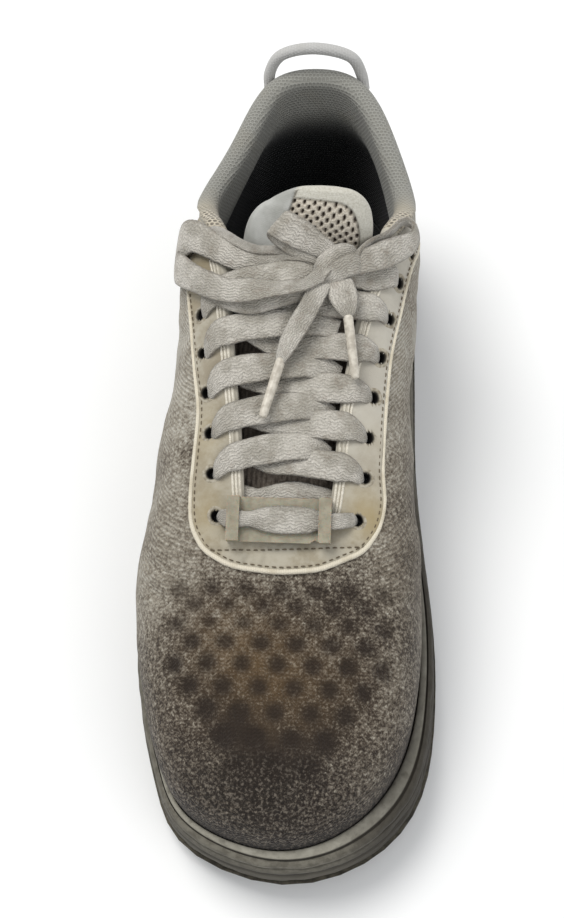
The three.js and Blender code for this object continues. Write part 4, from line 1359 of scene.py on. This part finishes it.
def inner_cross():
    """The first crossing, sunk between the tag and the row above: one strand arches over the other."""
    strips = []
    for side, y_near, y_mid, y_far, lift in ((1, 3.0, 4.6, 8.5, 1.3), (-1, 5.0, 9.2, 7.0, 2.5)):
        ends = []
        for s, rise in ((side, y_near), (-side, y_far)):
            edge = eyestay(s, row_y(0) + rise, 0)[0]
            ends.append([edge[0] + s * 2.2, edge[1], edge[2] - 3.4, LACE_WIDTH * 0.9, *THROAT_UP])
        y_at = row_y(0) + y_mid
        strips.append([ends[0], [0, y_at, tongue_top(y_at) + lift, LACE_WIDTH * 0.95, *THROAT_UP], ends[1]])
    return strips


laced("lace_row_0", inner_cross(), "lace_cross_0", 61)
tag_up = np.array([0, -np.sin(TAG_TILT), np.cos(TAG_TILT)])
# The lowest lace: x and width, pinched where the tag's two bridges hold it.
BAR = ((-20, 6.4), (-14.5, 5.2), (-8, 8.6), (-1, 10), (6, 9), (11.5, 5.6), (16.5, 5.6))
bar = [[x_at, *(np.array(TAG_AT) + tag_up * 2.3)[1:], wide, *tag_up] for x_at, wide in BAR]
laced("lace_through_tag", [[*down_the_hole(-1, 0), *bar, *down_the_hole(1, 0)[::-1]]], "lace_bar", 66)

# ---------------------------------------------------------------- bow
# Routes of the free strands: x, y, z, width, and the way the face looks.

RISE_LEFT = [
    [-18, 27.8, 105.2, 7.4, 0, -0.5, 0.85], [-6, 29.4, 108.2, 8, 0, -0.5, 0.85], [4, 33, 109.6, 7, 0, -0.5, 0.85],
    [12, 38.5, 111.4, 6, 0, -0.5, 0.85],
]
RISE_RIGHT = [
    [31, 41, 104.2, 8, 0.3, -0.4, 0.9], [25, 39, 106.4, 9, 0.1, -0.4, 0.9], [18, 38.5, 109.6, 7, 0, -0.5, 0.85],
]
STRAND_LEFT = [
    [13, 40.5, 113.2, 6, 0, -0.7, 0.7], [5, 42.5, 113.6, 5, 0, -0.2, 1], [-4, 43.4, 113, 5, 0, 0.1, 1],
    [-10, 43.2, 111.3, 6, -0.1, -0.2, 0.95], [-16, 43.2, 110.2, 7.4, -0.15, -0.45, 0.85],
    [-22, 44.4, 109.8, 8.4, -0.2, -0.55, 0.8], [-28, 47.4, 109.8, 9.2, -0.3, -0.5, 0.8],
    [-34, 52.2, 108.6, 10.2, -0.4, -0.45, 0.78], [-39.5, 57, 105.4, 12, -0.65, -0.3, 0.65],
    [-43.4, 59, 100.8, 13, -0.88, -0.15, 0.35], [-45.2, 58.6, 96.5, 12.5, -0.96, -0.1, 0.2],
    [-46.2, 55.4, 94, 12, -0.97, -0.1, 0.15], [-46, 51.4, 94.8, 12, -0.95, -0.15, 0.2],
    [-44.1, 47.2, 98.6, 12, -0.8, -0.3, 0.5], [-38.6, 40.4, 103.4, 9.6, -0.45, -0.5, 0.74],
    [-31.2, 34.2, 107.2, 9.2, -0.25, -0.55, 0.8], [-24.4, 30.6, 109.2, 8.8, -0.15, -0.6, 0.8],
    [-17.5, 29.8, 110.8, 8.5, -0.1, -0.45, 0.88], [-10.5, 29.8, 111.5, 7, 0, -0.2, 1],
    [-3, 30, 112.2, 5.5, 0, 0.0, 1], [3.5, 31.6, 112.8, 5, 0, -0.1, 1], [8.5, 35.5, 113.2, 6, 0, -0.5, 0.85],
    [12, 39, 112.4, 7, 0, -0.7, 0.7], [12.4, 38.4, 109.6, 7, 0, -0.95, 0.3], [9.5, 35.3, 110.6, 7, -0.2, -0.8, 0.6],
    [7.2, 30, 110.8, 7.4, -0.1, -0.55, 0.83], [4.3, 24.2, 108.2, 7.6, -0.1, -0.5, 0.86],
    [0.9, 19.2, 105, 7.6, -0.1, -0.5, 0.86], [-1.9, 14.2, 103, 7, -0.1, -0.45, 0.88],
    [-3.9, 9.9, 100.9, 5, -0.1, -0.45, 0.88], [-5, 7, 99.8, 3.2, -0.1, -0.4, 0.9],
]
STRAND_RIGHT = [
    [13.5, 40, 112.5, 7, 0, -0.7, 0.7], [17, 39.8, 113.4, 7.5, 0.1, -0.6, 0.8],
    [21.3, 40.8, 113, 8.5, 0.1, -0.55, 0.83], [26, 42.8, 112.6, 9, 0.15, -0.5, 0.85],
    [31, 46, 111.6, 9.5, 0.3, -0.45, 0.84], [35.4, 49.8, 109.8, 9, 0.45, -0.4, 0.8],
    [39, 54.2, 107.4, 7.5, 0.6, -0.2, 0.75], [41, 58.6, 106.2, 5.5, 0.8, 0.3, 0.4],
    [40.4, 62.6, 106.4, 5, 0.5, 0.85, 0.2], [37.4, 63.8, 107.4, 5, -0.1, 1, 0.1],
    [34.8, 61.6, 108.4, 5, -0.6, 0.8, 0.1], [32.6, 57.8, 109.4, 5, -0.7, 0.7, 0.1],
    [29.4, 54, 110.6, 5, -0.6, 0.75, 0.2], [25.8, 50.8, 112.2, 5, -0.6, 0.75, 0.3],
    [22.6, 47, 113.4, 5, -0.7, 0.6, 0.4], [20, 43.6, 113.2, 6, -0.5, 0.4, 0.7], [17, 40.4, 111, 7, 0, -0.8, 0.6],
    [14.5, 36.5, 110.6, 7.5, 0, -0.7, 0.7], [15.2, 32.3, 110.4, 9.5, 0, -0.5, 0.85],
    [16.8, 27.6, 109.2, 9.5, 0, -0.45, 0.88], [17.8, 24, 107.6, 7, 0, -0.4, 0.9],
    [18.1, 21.6, 106.6, 3.2, 0, -0.4, 0.9],
]
STUB = [
    [15.5, 41.2, 113.6, 6, 0, -0.7, 0.7], [11, 43, 116, 6.5, 0, -0.72, 0.68],
    [5.4, 45, 118.6, 8.5, -0.1, -0.72, 0.68], [0.6, 46.7, 121, 11, -0.1, -0.7, 0.7],
    [-4, 48.2, 122.8, 11, -0.1, -0.65, 0.7], [-7.2, 49.8, 123.2, 11, -0.5, 0.2, 0.8],
    [-7.4, 50.2, 121, 11, -0.6, 0.6, -0.4], [-4.6, 48.2, 119.2, 11, 0.1, 0.7, -0.7],
    [0.2, 45.6, 117.4, 10.5, 0.1, 0.7, -0.7], [5.4, 43.2, 115.2, 9, 0, 0.7, -0.7],
    [10.5, 41.2, 112.8, 7.5, 0, 0.7, -0.7], [14.5, 40.4, 111, 6, 0, 0.7, -0.7],
]
WRAPS = (  # two turns round the knot
    [
        [7.6, 33.6, 108.8, 5, -0.7, -0.5, 0.5], [7.8, 35.4, 112.4, 6, -0.6, -0.5, 0.7],
        [9.6, 38.4, 115, 7, -0.35, -0.6, 0.8], [12.8, 41, 116.2, 7.4, -0.1, -0.5, 0.87],
        [16.6, 42.8, 115.8, 7.2, 0.3, -0.35, 0.87], [19.8, 43.4, 112.8, 6.5, 0.8, -0.1, 0.5],
        [20.4, 42.8, 109.4, 5, 0.95, 0, -0.1],
    ],
    [
        [9.5, 33.8, 108.6, 6, -0.2, -0.9, 0.3], [12.5, 35.4, 112.8, 7.5, 0, -0.8, 0.6],
        [17.2, 38, 114.6, 8, 0.2, -0.6, 0.8], [21.2, 40.2, 113.2, 7.5, 0.6, -0.4, 0.7],
        [23, 41, 109.8, 6, 0.9, -0.2, 0.2],
    ],
)
TIPS = {
    "aglet_left": ((-4.6, 8.4, 100.2), (-10.4, -11.6, 93.2)),
    "aglet_right": ((18.1, 22.6, 107), (21.4, 2.4, 97.6)),
}


KNOT_AT, KNOT_HALVES, KNOT_TILT = (14.5, 39.4, 112), (5.6, 4.2, 3.2), np.radians(28)


def bow_core():
    """The pinched heart of the knot, behind its wraps."""
    rings, sides = 18, 36
    a, b = np.meshgrid(around_ring(sides), np.linspace(-1.45, 1.45, rings))
    ball = np.stack([np.cos(a) * np.cos(b), np.sin(a) * np.cos(b), np.sin(b)], -1)
    ball = ball * (1 + 0.07 * lumps(ball * 10, 9, 71)[..., None]) * KNOT_HALVES
    points = ball @ np.array(Matrix.Rotation(KNOT_TILT, 3, "X")).T + KNOT_AT
    last = (rings - 1) * sides
    caps = [list(range(sides)), list(range(last, last + sides))[::-1]]
    faces = grid_faces(rings, sides)[:, ::-1].tolist() + caps
    # Its across field is its y in mm, so the lace's painted edge shade darkens the whole core.
    return points.reshape(-1, 3), faces, {"across": points[..., 1], "along": points[..., 0]}


def rise(side, rows):
    """A strand that rises from the last laced eyelet to the knot."""
    down_insets = [(0, EYELET_INSET / 2)] if side > 0 else [(4, EYELET_INSET / 2), (8.6, 1.2)]
    spots = [eyestay(side, row_y(LAST_LACED) - down, inset) for down, inset in down_insets]
    on_stay = [[*over(spot, 0.4 + 0.4 * k), 8 + k, *spot[1]] for k, spot in enumerate(spots)]
    return [*down_the_hole(side, LAST_LACED), *on_stay, *rows]


CURL = [  # a pale turned-over fold of lace along the upper loop's inner edge
    [-35.5, 57.6, 107, 3, -0.3, 0.3, 0.9], [-31, 56.2, 110.2, 3.6, -0.2, 0.2, 1],
    [-26.5, 52.8, 111.8, 3.8, 0, 0.1, 1], [-21.5, 49, 112.2, 3.8, 0.1, 0, 1],
    [-15.5, 46.4, 112.2, 3.8, 0.1, -0.1, 1], [-9, 45.6, 113, 3.8, 0, -0.1, 1], [-2, 45.2, 114, 4, 0, -0.2, 1],
    [5, 43.6, 114.4, 4.6, 0, -0.4, 0.9], [11, 41.4, 113.4, 5, 0, -0.6, 0.8],
]
knot_strips = (rise(-1, RISE_LEFT), rise(1, RISE_RIGHT), *WRAPS, CURL)
knot_parts = [ribbon(rows, 80 + k)[:3] for k, rows in enumerate(knot_strips)]
points, faces, fields = merged(*knot_parts, bow_core())
piece("bow_knot", points, faces, [LACE], "lace", fields=fields, replaces=["lace_knot"])


# Along a tip: how far, and the share of its radius there. It tapers a little and its ends are rounded.
TIP_RADIUS, TIP_SIDES = 1.75, 18
TIP_STEPS = np.linspace(0.08, 0.9, 22)
TIP_STOPS = (0, 0.006, 0.02, 0.05, *TIP_STEPS, 0.95, 0.98, 0.994, 1.0)
TIP_SHARES = (0.55, 0.8, 0.95, 1.0, *(1.0 - 0.1 * np.linspace(0, 1, 22) ** 2), 0.88, 0.8, 0.62, 0.35)


def capsule(ends):
    """A lace tip: a rolled plastic sleeve with softly rounded ends."""
    a, b = (np.array(p, float) for p in ends)
    line = a + np.outer(TIP_STOPS, b - a)
    return tube(line, np.broadcast_to((0, 0, 1.0), line.shape), TIP_RADIUS * np.array(TIP_SHARES), TIP_SIDES)


for name, ends in TIPS.items():
    piece(name + "_sleeve", *capsule(ends), [TIP], "tip", replaces=[name])


def free_lace(name, rows, nodes, seed):
    """A strand of the bow: its length is its route's own."""
    points, faces, fields, line = ribbon(rows, seed)
    made = piece(name, points, faces, [LACE], "lace", fields=fields, replaces=nodes)
    line = placed(line)


for seed, side, rows in ((91, "left", STRAND_LEFT), (92, "right", STRAND_RIGHT)):
    free_lace(f"bow_{side}", rows, [f"lace_loop_{side}", f"lace_end_{side}"], seed)
free_lace("bow_stub", STUB, ["lace_fold"], 93)

# ---------------------------------------------------------------- floor and light


def make_floor():
    mesh = bpy.data.meshes.new("floor")
    reach = 3.0  # metres
    corners = ((-1, -1), (1, -1), (1, 1), (-1, 1))
    mesh.from_pydata([(reach * a, reach * b, 0) for a, b in corners], [], [(0, 1, 2, 3)])
    mesh.materials.append(floor_finish())
    linked("floor", mesh)


def make_light(name, at, size, watts, color=(1, 1, 1)):
    data = bpy.data.lights.new(name, "AREA")
    data.shape, data.size, data.energy, data.color = "DISK", size, watts, color
    made = linked(name, data)
    made.location = at
    made.rotation_euler = (-Vector(at) + Vector((0, 0, 0.05))).to_track_quat("-Z", "Y").to_euler()


make_floor()
make_light("sky_window", (-0.5, 0.35, 1.5), 0.9, 17, (1, 0.99, 0.97))
make_light("soft_fill", (0.9, -0.9, 1.1), 1.2, 6, (0.97, 0.98, 1))
world = bpy.data.worlds.new("studio")
bpy.context.scene.world = world
world.use_nodes = True
world.node_tree.nodes["Background"].inputs[0].default_value = (0.95, 0.97, 1, 1)
world.node_tree.nodes["Background"].inputs[1].default_value = 0.62
bpy.context.scene.view_settings.view_transform = "Standard"
